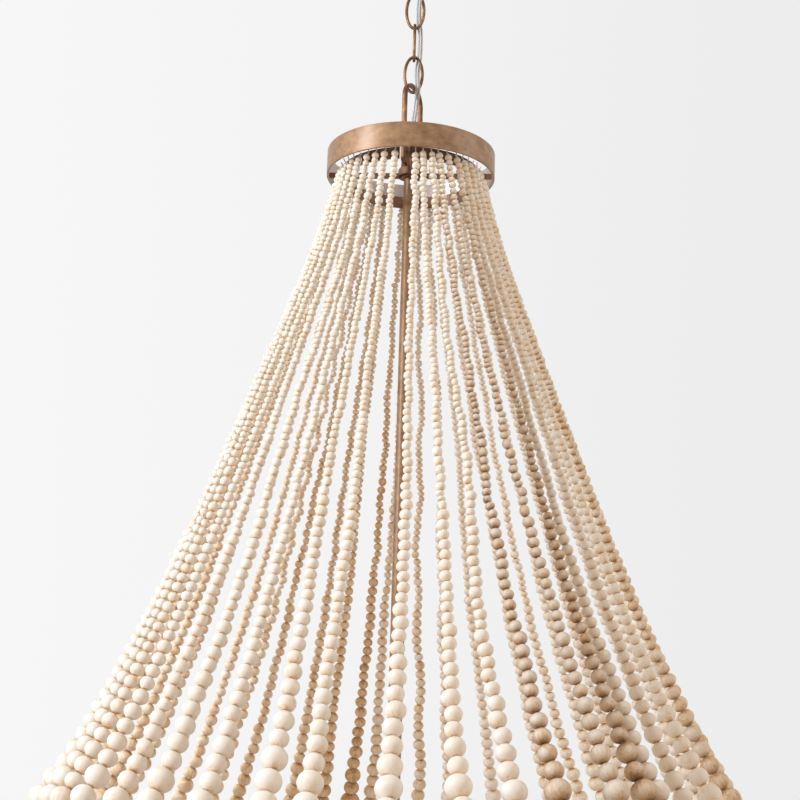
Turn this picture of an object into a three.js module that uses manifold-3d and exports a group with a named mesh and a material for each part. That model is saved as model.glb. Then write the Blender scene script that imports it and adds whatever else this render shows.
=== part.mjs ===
// A beaded chandelier hung on a short chain from a ceiling canopy.
// Millimetres, +Z up. The origin is on the chandelier's axis, at the ceiling.
// The front, where the strand hoop has its open joint, faces -Y.
import * as THREE from "three";
import { mergeVertices } from "three/addons/utils/BufferGeometryUtils.js";
import Module from "manifold-3d";

const wasm = await Module();
wasm.setup();

// Shared fits
const SEAT_GAP = 0.3;
const CUT_OVERRUN = 2;

// Threaded nipples that join the hollow pieces
const NIPPLE_RADIUS = 5.1;
const NIPPLE_BORE_RADIUS = 3.7;
const NIPPLE_HOLE_RADIUS = NIPPLE_RADIUS + SEAT_GAP;
const NIPPLE_IN_STEM = 16;
const NIPPLE_ABOVE_NUT = 2.5;
const NIPPLE_IN_FINIAL = 4.5;
const NUT_ACROSS_FLATS = 16;
const NUT_THICKNESS = 3.5;

// Ceiling canopy and what holds it
const CANOPY_RADIUS = 63;
const CANOPY_HEIGHT = 26;
const CANOPY_NECK_RADIUS = 15;
const CANOPY_LIP_HEIGHT = 3;
const CANOPY_WALL = 1.2;
const CANOPY_COVE_SHARES = [0.62, 0.72];
const STRAP_LENGTH = 104;
const STRAP_WIDTH = 18;
const STRAP_THICKNESS = 2.5;
const STRAP_SLOT_PLACE = 40;
const STRAP_SLOT_LENGTH = 12;
const SCREW_RADIUS = 2.1;
const SCREW_HEAD_RADIUS = 4;
const SCREW_HEAD_HEIGHT = 2.6;
const SCREW_HEAD_FACE_SHARE = 0.7;
const SCREW_REACH = 14;
const COLLAR_RADIUS = 12.5;
const COLLAR_HEIGHT = 6;
const COLLAR_END_SHARE = 0.88;
const COLLAR_CHAMFER_HEIGHT = 1.8;
const CANOPY_LOOP_BASE_RADIUS = 8.5;
const CANOPY_LOOP_BASE_HEIGHT = 10;
const CANOPY_NIPPLE_ABOVE_STRAP = 3;
const CANOPY_NIPPLE_IN_LOOP = 5;
const EYE_WIRE_RADIUS = 2;
const EYE_INNER_WIDTH = 15;
const EYE_INNER_HEIGHT = 20;

// Chain
const LINK_COUNT = 4;
const LINK_LENGTH = 40;
const LINK_WIDTH = 20;
const LINK_WIRE_RADIUS = 1.5;

// Lamp cord: two conductors side by side in clear insulation
const CORD_WIDTH = 5.2;
const CORD_THICKNESS = 2.6;

// Top loop, a closed stirrup that stands on the hub cup
const LOOP_LEG_SPACING = 36;
const LOOP_BAR_WIDTH = 4.5;
const LOOP_BAR_THICKNESS = 3.5;
const LOOP_CROWN_RADIUS = 14;
const LOOP_FOOT_RADIUS = 5;
const LOOP_SEAT_GAP = 2.2;
const LOOP_HEIGHT = 85.5;
const LOOP_PAD_RADIUS = 9.5;
const LOOP_TURN = THREE.MathUtils.degToRad(65);

// Crown: hub cup, spokes, band and the hoop that the upper strands hang from
const UPPER_STRAND_TOP_RADIUS = 68.8;
const BAND_OUTSIDE_STRANDS = 11.2;
const HUB_CUP_RADIUS = 12;
const HUB_CUP_HEIGHT = 9;
const HUB_CUP_WALL = 1;
const SPOKE_THICKNESS = 3;
const SPOKE_HEIGHT = 5;
const SPOKE_BOSS_RADIUS = 9.5;
const SPOKE_TURN_DEGREES = -3.5;
const CROWN_RADIUS = UPPER_STRAND_TOP_RADIUS + BAND_OUTSIDE_STRANDS;
const CROWN_BAND_THICKNESS = 2;
const CROWN_BAND_HEIGHT = 24;
const HOOP_THICKNESS = 1.2;
const HOOP_HEIGHT = 11.5;
const HOOP_RISE_ON_SPOKES = 5.5;
const HOOP_JOINT_WIDTH = 5;

// Central stem
const STEM_RADIUS = 6.35;
const STEM_WALL = 0.95;

// Bead strands
const STRAND_COUNT = 48;
const STRANDS_PER_THREAD = 8;
const STRAND_SECTION_SIDES = 4;
const THREAD_RADIUS = 0.8;
const UPPER_STRAND_HEIGHT = 616;
const UPPER_STRAND_DROP_BELOW_SPOKES = 1.8;
const BEAD_SIZES = [6.4, 6.8, 8, 10, 14, 16, 20];
const HOOP_OUTER_RADIUS = UPPER_STRAND_TOP_RADIUS - BEAD_SIZES[0] / 2 - SEAT_GAP;
const LOWER_BEAD_SIZES = [16, 14, 12, 9, 6, 5];

// Along each strand, the share of its run at which the bead size changes to the next one
const UPPER_SIZE_SHARES = [0.14, 0.4, 0.6, 0.77, 0.88, 1];
const LOWER_SIZE_SHARES = [0.18, 0.38, 0.56, 0.78, 1];

// The fan of the upper strands: shares of the way out and of the way down, as a strand hangs
const UPPER_FAN_SHARES = [
  [0, 0], [0.03, 0.05], [0.096, 0.145], [0.222, 0.29], [0.393, 0.485], [0.578, 0.68],
  [0.807, 0.88], [1, 1],
];

// The place left of the front spoke is empty: the hoop's open joint is there
const EMPTY_UPPER_PLACE = STRAND_COUNT - 1;

// Lower band, its spokes and the basket of beads under it
const LOWER_BAND_RADIUS = 326;
const LOWER_BAND_THICKNESS = 2;
const LOWER_BAND_HEIGHT = 28;
const LOWER_SPOKE_HEIGHT = 8;
const LOWER_SPOKE_DROP = 1;
const LOWER_HUB_RADIUS = 13;
const BASKET_DROP_IN_BAND = 10;
const BASKET_HEIGHT = 226;
const BASKET_SIDE_SHARES = [0.98, 0.62];
const BASKET_FLOOR_SHARE = 0.6;
const BOTTOM_PLATE_RADIUS = 44;
const BOTTOM_PLATE_THICKNESS = 3;
const BOTTOM_PLATE_RIM_HEIGHT = 7;
const BOTTOM_PLATE_RIM_WALL = 1.2;
const FINIAL_HEIGHT = 42;
const FINIAL_BALL_RADIUS = 12;
const FINIAL_NECK_RADIUS = 5.5;
const FINIAL_TOP_RADIUS = 9;
const FINIAL_TOP_HEIGHT = 3.4;
const FINIAL_NECK_TOP = 6.7;
const FINIAL_TIP_RADIUS = 2.75;
const FINIAL_TIP_HEIGHT = 5;

// Lamps
const LAMP_COUNT = 4;
const LAMP_CIRCLE_RADIUS = 92;
const LAMP_TURN_DEGREES = 48.5;
const LAMP_HUB_RADIUS = 22;
const LAMP_HUB_HEIGHT = 30;
const LAMP_HUB_ABOVE_PLATE = 60;
const LAMP_HUB_SHARES = [[0.62, 0], [0.9, 0.18], [1, 0.5], [0.9, 0.82], [0.62, 1]];
const ARM_RADIUS = 4.5;
const ARM_SAG = 26;
const ARM_RISE = 22;
const ARM_LEVEL_SHARE = 0.4;
const CUP_RADIUS = 21;
const CUP_HEIGHT = 9;
const CUP_WALL = 1.2;
const CUP_FLOOR_RADIUS = 12;
const CUP_BEND_RADIUS = 17.8;
const CUP_BEND_HEIGHT = 3.2;
const SOCKET_RADIUS = 9.5;
const SOCKET_BORE_RADIUS = 7;
const SOCKET_HEIGHT = 60;
const SOCKET_FLOOR = 38;
const COVER_RADIUS = 11.5;
const COVER_WALL = 1;
const COVER_HEIGHT = 62;
const BULB_RADIUS = 17;
const BULB_HEIGHT = 74;
const BULB_NECK_RADIUS = 6.5;
const BULB_BASE_HEIGHT = 24;
const BULB_TIP_RADIUS = 1.6;
const BULB_SHARES = [[0.62, 0.07], [0.95, 0.22], [0.97, 0.42], [0.66, 0.68], [0.3, 0.87]];

// Round pieces get more faces the larger they are; the bands have a corner at each strand's place
const SMALL_ROUND_SIDES = 12;
const MEDIUM_ROUND_SIDES = 16;
const LARGE_ROUND_SIDES = 28;
const BAND_SIDES = STRAND_COUNT;

// Steps along curves, and faces round a wire
const LINK_STEPS = 16;
const WIRE_SIDES = 8;
const COVE_STEPS = 4;
const LOOP_BEND_STEPS = 5;
const ARM_STEPS = 9;
const ARM_QUARTER_SIDES = 4;
const BALL_STEPS = 7;
const CORD_STEPS = 32;
const CORD_QUARTER_SIDES = 2;

// Heights down the axis, worked out from the pieces above
const strapBottom = -STRAP_THICKNESS;
const canopyBottom = -CANOPY_HEIGHT;
const collarTop = canopyBottom - SEAT_GAP;
const collarBottom = collarTop - COLLAR_HEIGHT;
const canopyLoopTop = collarBottom - SEAT_GAP;
const canopyLoopBaseBottom = canopyLoopTop - CANOPY_LOOP_BASE_HEIGHT;
const eyeInnerBottom = canopyLoopBaseBottom - EYE_INNER_HEIGHT;
const linkPitch = LINK_LENGTH - 4 * LINK_WIRE_RADIUS - SEAT_GAP;
const firstLinkTop = eyeInnerBottom + SEAT_GAP + 2 * LINK_WIRE_RADIUS;
const lastLinkBottom = firstLinkTop - (LINK_COUNT - 1) * linkPitch - LINK_LENGTH;
const loopInnerTop = lastLinkBottom + 2 * LINK_WIRE_RADIUS + LOOP_SEAT_GAP;
const loopTop = loopInnerTop + LOOP_BAR_THICKNESS;
const loopBottom = loopTop - LOOP_HEIGHT;
const hubCupTop = loopBottom - SEAT_GAP;
const hubCupBottom = hubCupTop - HUB_CUP_HEIGHT;
const spokeTop = hubCupBottom + SPOKE_HEIGHT - HUB_CUP_WALL;
const spokeBottom = spokeTop - SPOKE_HEIGHT;
const stemTop = spokeBottom - SEAT_GAP;
const upperStrandTop = spokeBottom - UPPER_STRAND_DROP_BELOW_SPOKES;
const lowerBandTop = upperStrandTop - UPPER_STRAND_HEIGHT;
const lowerBandBottom = lowerBandTop - LOWER_BAND_HEIGHT;
const lowerSpokeTop = lowerBandTop - LOWER_SPOKE_DROP;
const lowerSpokeBottom = lowerSpokeTop - LOWER_SPOKE_HEIGHT;
const basketTop = lowerBandTop - BASKET_DROP_IN_BAND;
const basketBottom = basketTop - BASKET_HEIGHT;
const plateTop = basketBottom - SEAT_GAP;
const plateBottom = plateTop - BOTTOM_PLATE_THICKNESS;
const stemBottom = plateTop + SEAT_GAP;
const lampHubBottom = plateTop + LAMP_HUB_ABOVE_PLATE;
const lampHubTop = lampHubBottom + LAMP_HUB_HEIGHT;
const armEndHeight = lampHubBottom + LAMP_HUB_HEIGHT / 2 + ARM_RISE;
const cupBottom = armEndHeight + SEAT_GAP;
const cupFloorTop = cupBottom + CUP_WALL;
const socketBottom = cupFloorTop + SEAT_GAP;
const socketTop = socketBottom + SOCKET_HEIGHT;
const coverTop = cupFloorTop + SEAT_GAP + COVER_HEIGHT;

const finishes = {
  antiqueGold: new THREE.MeshStandardMaterial({ color: 0xa67a4b, metalness: 0.9, roughness: 0.38 }),
  darkBronze: new THREE.MeshStandardMaterial({ color: 0x4a3527, metalness: 0.7, roughness: 0.5 }),
  zinc: new THREE.MeshStandardMaterial({ color: 0xb9babb, metalness: 0.9, roughness: 0.4 }),
  clearCord: new THREE.MeshStandardMaterial({ color: 0xc7b3a3, metalness: 0.1, roughness: 0.3 }),
  paleWood: new THREE.MeshStandardMaterial({ color: 0xe6d5bf, metalness: 0, roughness: 0.7 }),
  candle: new THREE.MeshStandardMaterial({ color: 0xe9dfcc, metalness: 0, roughness: 0.6 }),
  socket: new THREE.MeshStandardMaterial({ color: 0x2b2927, metalness: 0, roughness: 0.5 }),
  bulbGlass: new THREE.MeshStandardMaterial({ color: 0xf4f1ea, metalness: 0, roughness: 0.1 }),
};

// Shared vertices merged, empty faces dropped, faces turned outward
function closed(geometry) {
  const bare = geometry.index ? geometry.toNonIndexed() : geometry.clone();
  bare.deleteAttribute("normal");
  bare.deleteAttribute("uv");
  const merged = mergeVertices(bare);
  const corners = merged.getAttribute("position");
  const [a, b, c] = [new THREE.Vector3(), new THREE.Vector3(), new THREE.Vector3()];
  const faces = [];
  let sixVolumes = 0;
  for (let i = 0; i < merged.index.count; i += 3) {
    const face = [merged.index.getX(i), merged.index.getX(i + 1), merged.index.getX(i + 2)];
    if (new Set(face).size < 3) continue;
    a.fromBufferAttribute(corners, face[0]);
    b.fromBufferAttribute(corners, face[1]);
    c.fromBufferAttribute(corners, face[2]);
    sixVolumes += a.dot(b.cross(c));
    faces.push(face);
  }
  const outward = sixVolumes < 0 ? faces.map(([p, q, r]) => [p, r, q]) : faces;
  merged.setIndex(outward.flat());
  return merged;
}

function solidOf(geometry) {
  const whole = closed(geometry);
  const mesh = new wasm.Mesh({
    numProp: 3,
    vertProperties: Float32Array.from(whole.getAttribute("position").array),
    triVerts: Uint32Array.from(whole.index.array),
  });
  return new wasm.Manifold(mesh);
}

function geometryOf(solid) {
  const mesh = solid.getMesh();
  const geometry = new THREE.BufferGeometry();
  const corners = new Float32Array(mesh.vertProperties);
  geometry.setAttribute("position", new THREE.BufferAttribute(corners, 3));
  geometry.setIndex(Array.from(mesh.triVerts));
  return geometry;
}

function joined(geometries) {
  const solids = geometries.map(solidOf);
  return geometryOf(solids.reduce((sum, solid) => sum.add(solid)));
}

function cutFrom(body, cutters) {
  return geometryOf(cutters.map(solidOf).reduce((rest, cutter) => rest.subtract(cutter), solidOf(body)));
}

// A profile of [radius, height] points, turned about Z
function revolved(profile, sides) {
  const points = profile.map(([radius, height]) => new THREE.Vector2(radius, height));
  return closed(new THREE.LatheGeometry(points, sides).rotateX(Math.PI / 2));
}

function ring(innerRadius, outerRadius, bottom, top, sides) {
  const profile = [
    [innerRadius, bottom],
    [outerRadius, bottom],
    [outerRadius, top],
    [innerRadius, top],
    [innerRadius, bottom],
  ];
  return revolved(profile, sides);
}

function rod(radius, bottom, top, sides) {
  return revolved([[0, bottom], [radius, bottom], [radius, top], [0, top]], sides);
}

function box(width, depth, bottom, top) {
  return new THREE.BoxGeometry(width, depth, top - bottom).translate(0, 0, (top + bottom) / 2);
}

function risen(shape, bottom, top, curveSegments) {
  const settings = { depth: top - bottom, bevelEnabled: false, curveSegments };
  return closed(new THREE.ExtrudeGeometry(shape, settings).translate(0, 0, bottom));
}

function roundedRectangle(width, bottom, top, lowerRadius, upperRadius) {
  const side = width / 2;
  const shape = new THREE.Shape();
  shape.moveTo(-side + lowerRadius, bottom);
  shape.lineTo(side - lowerRadius, bottom);
  shape.absarc(side - lowerRadius, bottom + lowerRadius, lowerRadius, -Math.PI / 2, 0);
  shape.lineTo(side, top - upperRadius);
  shape.absarc(side - upperRadius, top - upperRadius, upperRadius, 0, Math.PI / 2);
  shape.lineTo(-side + upperRadius, top);
  shape.absarc(-side + upperRadius, top - upperRadius, upperRadius, Math.PI / 2, Math.PI);
  shape.lineTo(-side, bottom + lowerRadius);
  shape.absarc(-side + lowerRadius, bottom + lowerRadius, lowerRadius, Math.PI, 1.5 * Math.PI);
  return shape;
}

function hexNut(bottom, top) {
  const cornerRadius = NUT_ACROSS_FLATS / Math.sqrt(3);
  const corners = Array.from({ length: 6 }, (_, i) => {
    const angle = (i * Math.PI) / 3;
    return new THREE.Vector2(cornerRadius * Math.cos(angle), cornerRadius * Math.sin(angle));
  });
  const shape = new THREE.Shape(corners);
  const hole = new THREE.Path().absarc(0, 0, NIPPLE_HOLE_RADIUS, 0, 2 * Math.PI, true);
  shape.holes.push(hole);
  return risen(shape, bottom, top, SMALL_ROUND_SIDES / 2);
}

// Faces between successive rings of points; a loop joins its last ring to its first
function lofted(rings, isLoop) {
  const sides = rings[0].length;
  const corners = rings.flat().flatMap((point) => point.toArray());
  const faces = [];
  const spans = isLoop ? rings.length : rings.length - 1;
  for (let i = 0; i < spans; i += 1) {
    const here = i * sides;
    const next = ((i + 1) % rings.length) * sides;
    for (let k = 0; k < sides; k += 1) {
      const after = (k + 1) % sides;
      faces.push(here + k, here + after, next + after, here + k, next + after, next + k);
    }
  }
  if (!isLoop) {
    const last = (rings.length - 1) * sides;
    for (let k = 1; k < sides - 1; k += 1) {
      faces.push(0, k + 1, k, last, last + k, last + k + 1);
    }
  }
  const geometry = new THREE.BufferGeometry();
  geometry.setAttribute("position", new THREE.Float32BufferAttribute(corners, 3));
  geometry.setIndex(faces);
  return closed(geometry);
}

// A round wire bent into an oval link in the XZ plane, its highest point at z = 0
function wireLink(length, width, wireRadius) {
  const halfWidth = width / 2 - wireRadius;
  const halfLength = length / 2 - wireRadius;
  const rings = [];
  for (let i = 0; i < LINK_STEPS; i += 1) {
    const along = (2 * Math.PI * i) / LINK_STEPS;
    const [across, upward] = [Math.cos(along), Math.sin(along)];
    const centre = new THREE.Vector3(halfWidth * across, 0, halfLength * upward - length / 2);
    const outward = new THREE.Vector3(halfLength * across, 0, halfWidth * upward).normalize();
    const ringOfWire = [];
    for (let k = 0; k < WIRE_SIDES; k += 1) {
      const around = (2 * Math.PI * (k + 0.5)) / WIRE_SIDES;
      const point = centre.clone().addScaledVector(outward, wireRadius * Math.cos(around));
      point.y = wireRadius * Math.sin(around);
      ringOfWire.push(point);
    }
    rings.push(ringOfWire);
  }
  return lofted(rings, true);
}

// Canopy: a lip, a cove and a neck, with an even wall
function canopyShell() {
  const cove = new THREE.QuadraticBezierCurve(
    new THREE.Vector2(CANOPY_RADIUS, -CANOPY_LIP_HEIGHT),
    new THREE.Vector2(CANOPY_RADIUS * CANOPY_COVE_SHARES[0], canopyBottom * CANOPY_COVE_SHARES[1]),
    new THREE.Vector2(CANOPY_NECK_RADIUS, canopyBottom),
  );
  const outer = [[CANOPY_RADIUS, 0]];
  const inner = [[CANOPY_RADIUS - CANOPY_WALL, 0]];
  for (let i = 0; i <= COVE_STEPS; i += 1) {
    const point = cove.getPoint(i / COVE_STEPS);
    const along = cove.getTangent(i / COVE_STEPS);
    outer.push([point.x, point.y]);
    inner.push([point.x + along.y * CANOPY_WALL, point.y - along.x * CANOPY_WALL]);
  }
  const floor = canopyBottom + CANOPY_WALL;
  inner.pop();
  inner.push([CANOPY_NECK_RADIUS - CANOPY_WALL, floor]);
  outer.push([NIPPLE_HOLE_RADIUS, canopyBottom]);
  inner.push([NIPPLE_HOLE_RADIUS, floor]);
  return revolved([...outer, ...inner.reverse(), outer[0]], LARGE_ROUND_SIDES);
}

function mountingStrap() {
  const nippleHole = rod(NIPPLE_HOLE_RADIUS, strapBottom - CUT_OVERRUN, CUT_OVERRUN, SMALL_ROUND_SIDES);
  const slotWidth = 2 * (SCREW_RADIUS + SEAT_GAP);
  const cutters = [nippleHole];
  for (const side of [-1, 1]) {
    const slot = box(STRAP_SLOT_LENGTH, slotWidth, strapBottom - CUT_OVERRUN, CUT_OVERRUN);
    cutters.push(slot.translate(side * STRAP_SLOT_PLACE, 0, 0));
  }
  return cutFrom(box(STRAP_LENGTH, STRAP_WIDTH, strapBottom, 0), cutters);
}

// A pan-head screw that goes up through a slot of the strap into the ceiling box
function mountingScrew(side) {
  const headTop = strapBottom - SEAT_GAP;
  const profile = [
    [0, headTop - SCREW_HEAD_HEIGHT],
    [SCREW_HEAD_RADIUS * SCREW_HEAD_FACE_SHARE, headTop - SCREW_HEAD_HEIGHT],
    [SCREW_HEAD_RADIUS, headTop - SCREW_HEAD_HEIGHT / 2],
    [SCREW_HEAD_RADIUS, headTop],
    [SCREW_RADIUS, headTop],
    [SCREW_RADIUS, SCREW_REACH],
    [0, SCREW_REACH],
  ];
  return revolved(profile, SMALL_ROUND_SIDES).translate(side * STRAP_SLOT_PLACE, 0, 0);
}

function nipple(bottom, top) {
  return ring(NIPPLE_BORE_RADIUS, NIPPLE_RADIUS, bottom, top, MEDIUM_ROUND_SIDES);
}

// Screw collar, turned up under the canopy
function canopyCollar() {
  const endRadius = COLLAR_RADIUS * COLLAR_END_SHARE;
  const profile = [
    [NIPPLE_HOLE_RADIUS, collarBottom],
    [endRadius, collarBottom],
    [COLLAR_RADIUS, collarBottom + COLLAR_CHAMFER_HEIGHT],
    [COLLAR_RADIUS, collarTop - COLLAR_CHAMFER_HEIGHT],
    [endRadius, collarTop],
    [NIPPLE_HOLE_RADIUS, collarTop],
    [NIPPLE_HOLE_RADIUS, collarBottom],
  ];
  return revolved(profile, MEDIUM_ROUND_SIDES);
}

// A cast base, threaded on the nipple, with an eye under it for the first link
function canopyLoop() {
  const eyeLength = EYE_INNER_HEIGHT + 4 * EYE_WIRE_RADIUS;
  const eyeWidth = EYE_INNER_WIDTH + 4 * EYE_WIRE_RADIUS;
  const eyeTop = eyeInnerBottom + EYE_INNER_HEIGHT + 2 * EYE_WIRE_RADIUS;
  const eye = wireLink(eyeLength, eyeWidth, EYE_WIRE_RADIUS).translate(0, 0, eyeTop);
  const base = rod(CANOPY_LOOP_BASE_RADIUS, canopyLoopBaseBottom, canopyLoopTop, MEDIUM_ROUND_SIDES);
  const socketFloor = canopyLoopTop - CANOPY_NIPPLE_IN_LOOP - SEAT_GAP;
  const socket = rod(NIPPLE_HOLE_RADIUS, socketFloor, canopyLoopTop + CUT_OVERRUN, MEDIUM_ROUND_SIDES);
  const cordHole = rod(NIPPLE_BORE_RADIUS, eyeInnerBottom + CUT_OVERRUN, canopyLoopTop, SMALL_ROUND_SIDES);
  return cutFrom(joined([eye, base]), [socket, cordHole]);
}

// The bottom of the loop widens to a round pad that the nipple passes
function topLoop() {
  const outerWidth = LOOP_LEG_SPACING + LOOP_BAR_THICKNESS;
  const innerWidth = LOOP_LEG_SPACING - LOOP_BAR_THICKNESS;
  const halfBar = LOOP_BAR_WIDTH / 2;
  const outline = roundedRectangle(
    outerWidth, loopBottom, loopTop, LOOP_FOOT_RADIUS, LOOP_CROWN_RADIUS + LOOP_BAR_THICKNESS);
  const window = roundedRectangle(
    innerWidth, loopBottom + LOOP_BAR_THICKNESS, loopInnerTop,
    LOOP_FOOT_RADIUS - LOOP_BAR_THICKNESS, LOOP_CROWN_RADIUS);
  outline.holes.push(window);
  const bar = risen(outline, -halfBar, halfBar, LOOP_BEND_STEPS).rotateX(Math.PI / 2);
  const pad = rod(LOOP_PAD_RADIUS, loopBottom, loopBottom + LOOP_BAR_THICKNESS, MEDIUM_ROUND_SIDES);
  const holeTop = loopBottom + LOOP_BAR_THICKNESS + CUT_OVERRUN;
  const hole = rod(NIPPLE_HOLE_RADIUS, loopBottom - CUT_OVERRUN, holeTop, MEDIUM_ROUND_SIDES);
  return cutFrom(joined([bar, pad]), [hole]).rotateZ(LOOP_TURN);
}

function crossedBars(length, width, bottom, top) {
  return [box(length, width, bottom, top), box(width, length, bottom, top)];
}

function turned(geometry, degrees) {
  return geometry.rotateZ(THREE.MathUtils.degToRad(degrees));
}

function hubCup() {
  const cupInnerTop = hubCupTop - HUB_CUP_WALL;
  const profile = [
    [NIPPLE_HOLE_RADIUS, hubCupTop],
    [HUB_CUP_RADIUS - HUB_CUP_WALL, hubCupTop],
    [HUB_CUP_RADIUS, hubCupTop - HUB_CUP_WALL],
    [HUB_CUP_RADIUS, hubCupBottom],
    [HUB_CUP_RADIUS - HUB_CUP_WALL, hubCupBottom],
    [HUB_CUP_RADIUS - HUB_CUP_WALL, cupInnerTop],
    [NIPPLE_HOLE_RADIUS, cupInnerTop],
    [NIPPLE_HOLE_RADIUS, hubCupTop],
  ];
  const slotWidth = SPOKE_THICKNESS + 2 * SEAT_GAP;
  const slotLength = 2 * HUB_CUP_RADIUS + CUT_OVERRUN;
  const slots = crossedBars(slotLength, slotWidth, hubCupBottom - CUT_OVERRUN, spokeTop + SEAT_GAP);
  return turned(cutFrom(revolved(profile, MEDIUM_ROUND_SIDES), slots), SPOKE_TURN_DEGREES);
}

// Four flat spokes on edge round a bored boss that fills the height up to the cup's top
function crownSpokes() {
  const reach = 2 * (CROWN_RADIUS - CROWN_BAND_THICKNESS - SEAT_GAP);
  const bossTop = hubCupTop - HUB_CUP_WALL - SEAT_GAP;
  const boss = rod(SPOKE_BOSS_RADIUS, spokeBottom, bossTop, MEDIUM_ROUND_SIDES);
  const spokes = crossedBars(reach, SPOKE_THICKNESS, spokeBottom, spokeTop);
  const bore = rod(NIPPLE_HOLE_RADIUS, spokeBottom - CUT_OVERRUN, bossTop + CUT_OVERRUN, MEDIUM_ROUND_SIDES);
  return turned(cutFrom(joined([boss, ...spokes]), [bore]), SPOKE_TURN_DEGREES);
}

// A strip on edge, notched over the spokes, open beside the front spoke
function strandHoop() {
  const innerRadius = HOOP_OUTER_RADIUS - HOOP_THICKNESS;
  const top = spokeBottom + HOOP_RISE_ON_SPOKES;
  const bottom = top - HOOP_HEIGHT;
  const hoop = ring(innerRadius, HOOP_OUTER_RADIUS, bottom, top, BAND_SIDES);
  const notchWidth = SPOKE_THICKNESS + 2 * SEAT_GAP;
  const notches = crossedBars(2 * CROWN_RADIUS, notchWidth, spokeBottom - SEAT_GAP, top + CUT_OVERRUN);
  const joint = box(HOOP_JOINT_WIDTH, CROWN_RADIUS, bottom - CUT_OVERRUN, top + CUT_OVERRUN);
  joint.translate(-(notchWidth + HOOP_JOINT_WIDTH) / 2, -CROWN_RADIUS / 2 - CUT_OVERRUN, 0);
  return cutFrom(hoop, [...notches, joint].map((cutter) => turned(cutter, SPOKE_TURN_DEGREES)));
}

function upperFanCurve() {
  const outerRadius = LOWER_BAND_RADIUS - LOWER_BAND_THICKNESS / 2;
  const endRise = SEAT_GAP + LOWER_BAND_THICKNESS / 2;
  const spread = outerRadius - UPPER_STRAND_TOP_RADIUS;
  const fall = UPPER_STRAND_HEIGHT - endRise;
  const points = UPPER_FAN_SHARES.map(([outShare, downShare]) =>
    new THREE.Vector2(UPPER_STRAND_TOP_RADIUS + spread * outShare, upperStrandTop - fall * downShare),
  );
  return new THREE.SplineCurve(points);
}

function basketCurve() {
  const topRadius = LOWER_BAND_RADIUS - LOWER_BAND_THICKNESS - SEAT_GAP - LOWER_BEAD_SIZES[0] / 2;
  const endRadius = BOTTOM_PLATE_RADIUS + SEAT_GAP;
  const lastBeadRadius = LOWER_BEAD_SIZES[LOWER_BEAD_SIZES.length - 1] / 2;
  const endHeight = basketBottom + lastBeadRadius;
  return new THREE.CubicBezierCurve(
    new THREE.Vector2(topRadius, basketTop),
    new THREE.Vector2(topRadius * BASKET_SIDE_SHARES[0], basketTop - BASKET_HEIGHT * BASKET_SIDE_SHARES[1]),
    new THREE.Vector2(topRadius * BASKET_FLOOR_SHARE, basketBottom),
    new THREE.Vector2(endRadius, endHeight),
  );
}

// One strand in the XZ half plane: a tube as thick as its beads, swelling where they do
function strand(curve, sizes, sizeShares) {
  const rings = [];
  const stops = [0, ...sizeShares];
  for (const [i, share] of stops.entries()) {
    const size = sizes[Math.min(i, sizes.length - 1)];
    const centre = curve.getPointAt(share);
    const along = curve.getTangentAt(share);
    const across = new THREE.Vector2(-along.y, along.x);
    const ringOfStrand = [];
    for (let k = 0; k < STRAND_SECTION_SIDES; k += 1) {
      const around = (2 * Math.PI * k) / STRAND_SECTION_SIDES;
      const outward = (size / 2) * Math.cos(around);
      const sideways = (size / 2) * Math.sin(around);
      const x = centre.x + across.x * outward;
      ringOfStrand.push(new THREE.Vector3(x, sideways, centre.y + across.y * outward));
    }
    rings.push(ringOfStrand);
  }
  return lofted(rings, false);
}

// One long thread strings several strands: it runs along its hoop or band from each to the next
function threadedStrands(oneStrand, group, threadPathRadius, threadHeight, emptyPlace) {
  const strands = [];
  const threadRings = [];
  for (let i = 0; i < STRANDS_PER_THREAD; i += 1) {
    const place = group * STRANDS_PER_THREAD + i;
    if (place === emptyPlace) continue;
    const azimuth = (2 * Math.PI * place) / STRAND_COUNT - Math.PI / 2;
    strands.push(oneStrand.clone().rotateZ(azimuth));
    const corners = [[-1, -1], [1, -1], [1, 1], [-1, 1]];
    threadRings.push(corners.map(([outward, upward]) => {
      const radius = threadPathRadius + outward * THREAD_RADIUS;
      const height = threadHeight + upward * THREAD_RADIUS;
      return new THREE.Vector3(radius * Math.cos(azimuth), radius * Math.sin(azimuth), height);
    }));
  }
  return joined([...strands, lofted(threadRings, false)]);
}

function lowerBand() {
  const innerRadius = LOWER_BAND_RADIUS - LOWER_BAND_THICKNESS;
  return ring(innerRadius, LOWER_BAND_RADIUS, lowerBandBottom, lowerBandTop, BAND_SIDES);
}

// Spokes between the strands' places, round a hub that slides on the stem
function lowerSpokes() {
  const facetInset = LOWER_BAND_RADIUS * (1 - Math.cos(Math.PI / BAND_SIDES));
  const reach = 2 * (LOWER_BAND_RADIUS - LOWER_BAND_THICKNESS - SEAT_GAP - facetInset);
  const hub = rod(LOWER_HUB_RADIUS, lowerSpokeBottom, lowerSpokeTop, MEDIUM_ROUND_SIDES);
  const spokes = crossedBars(reach, SPOKE_THICKNESS, lowerSpokeBottom, lowerSpokeTop);
  const boreTop = lowerSpokeTop + CUT_OVERRUN;
  const bore = rod(STEM_RADIUS + SEAT_GAP, lowerSpokeBottom - CUT_OVERRUN, boreTop, MEDIUM_ROUND_SIDES);
  const betweenStrands = 180 / STRAND_COUNT;
  return turned(cutFrom(joined([hub, ...spokes]), [bore]), betweenStrands);
}

function lampHub() {
  const boreRadius = STEM_RADIUS + SEAT_GAP;
  const outside = LAMP_HUB_SHARES.map(([widthShare, heightShare]) =>
    [LAMP_HUB_RADIUS * widthShare, lampHubBottom + LAMP_HUB_HEIGHT * heightShare],
  );
  const bottomOfBore = [boreRadius, lampHubBottom];
  return revolved([bottomOfBore, ...outside, [boreRadius, lampHubTop], bottomOfBore], MEDIUM_ROUND_SIDES);
}

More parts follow.
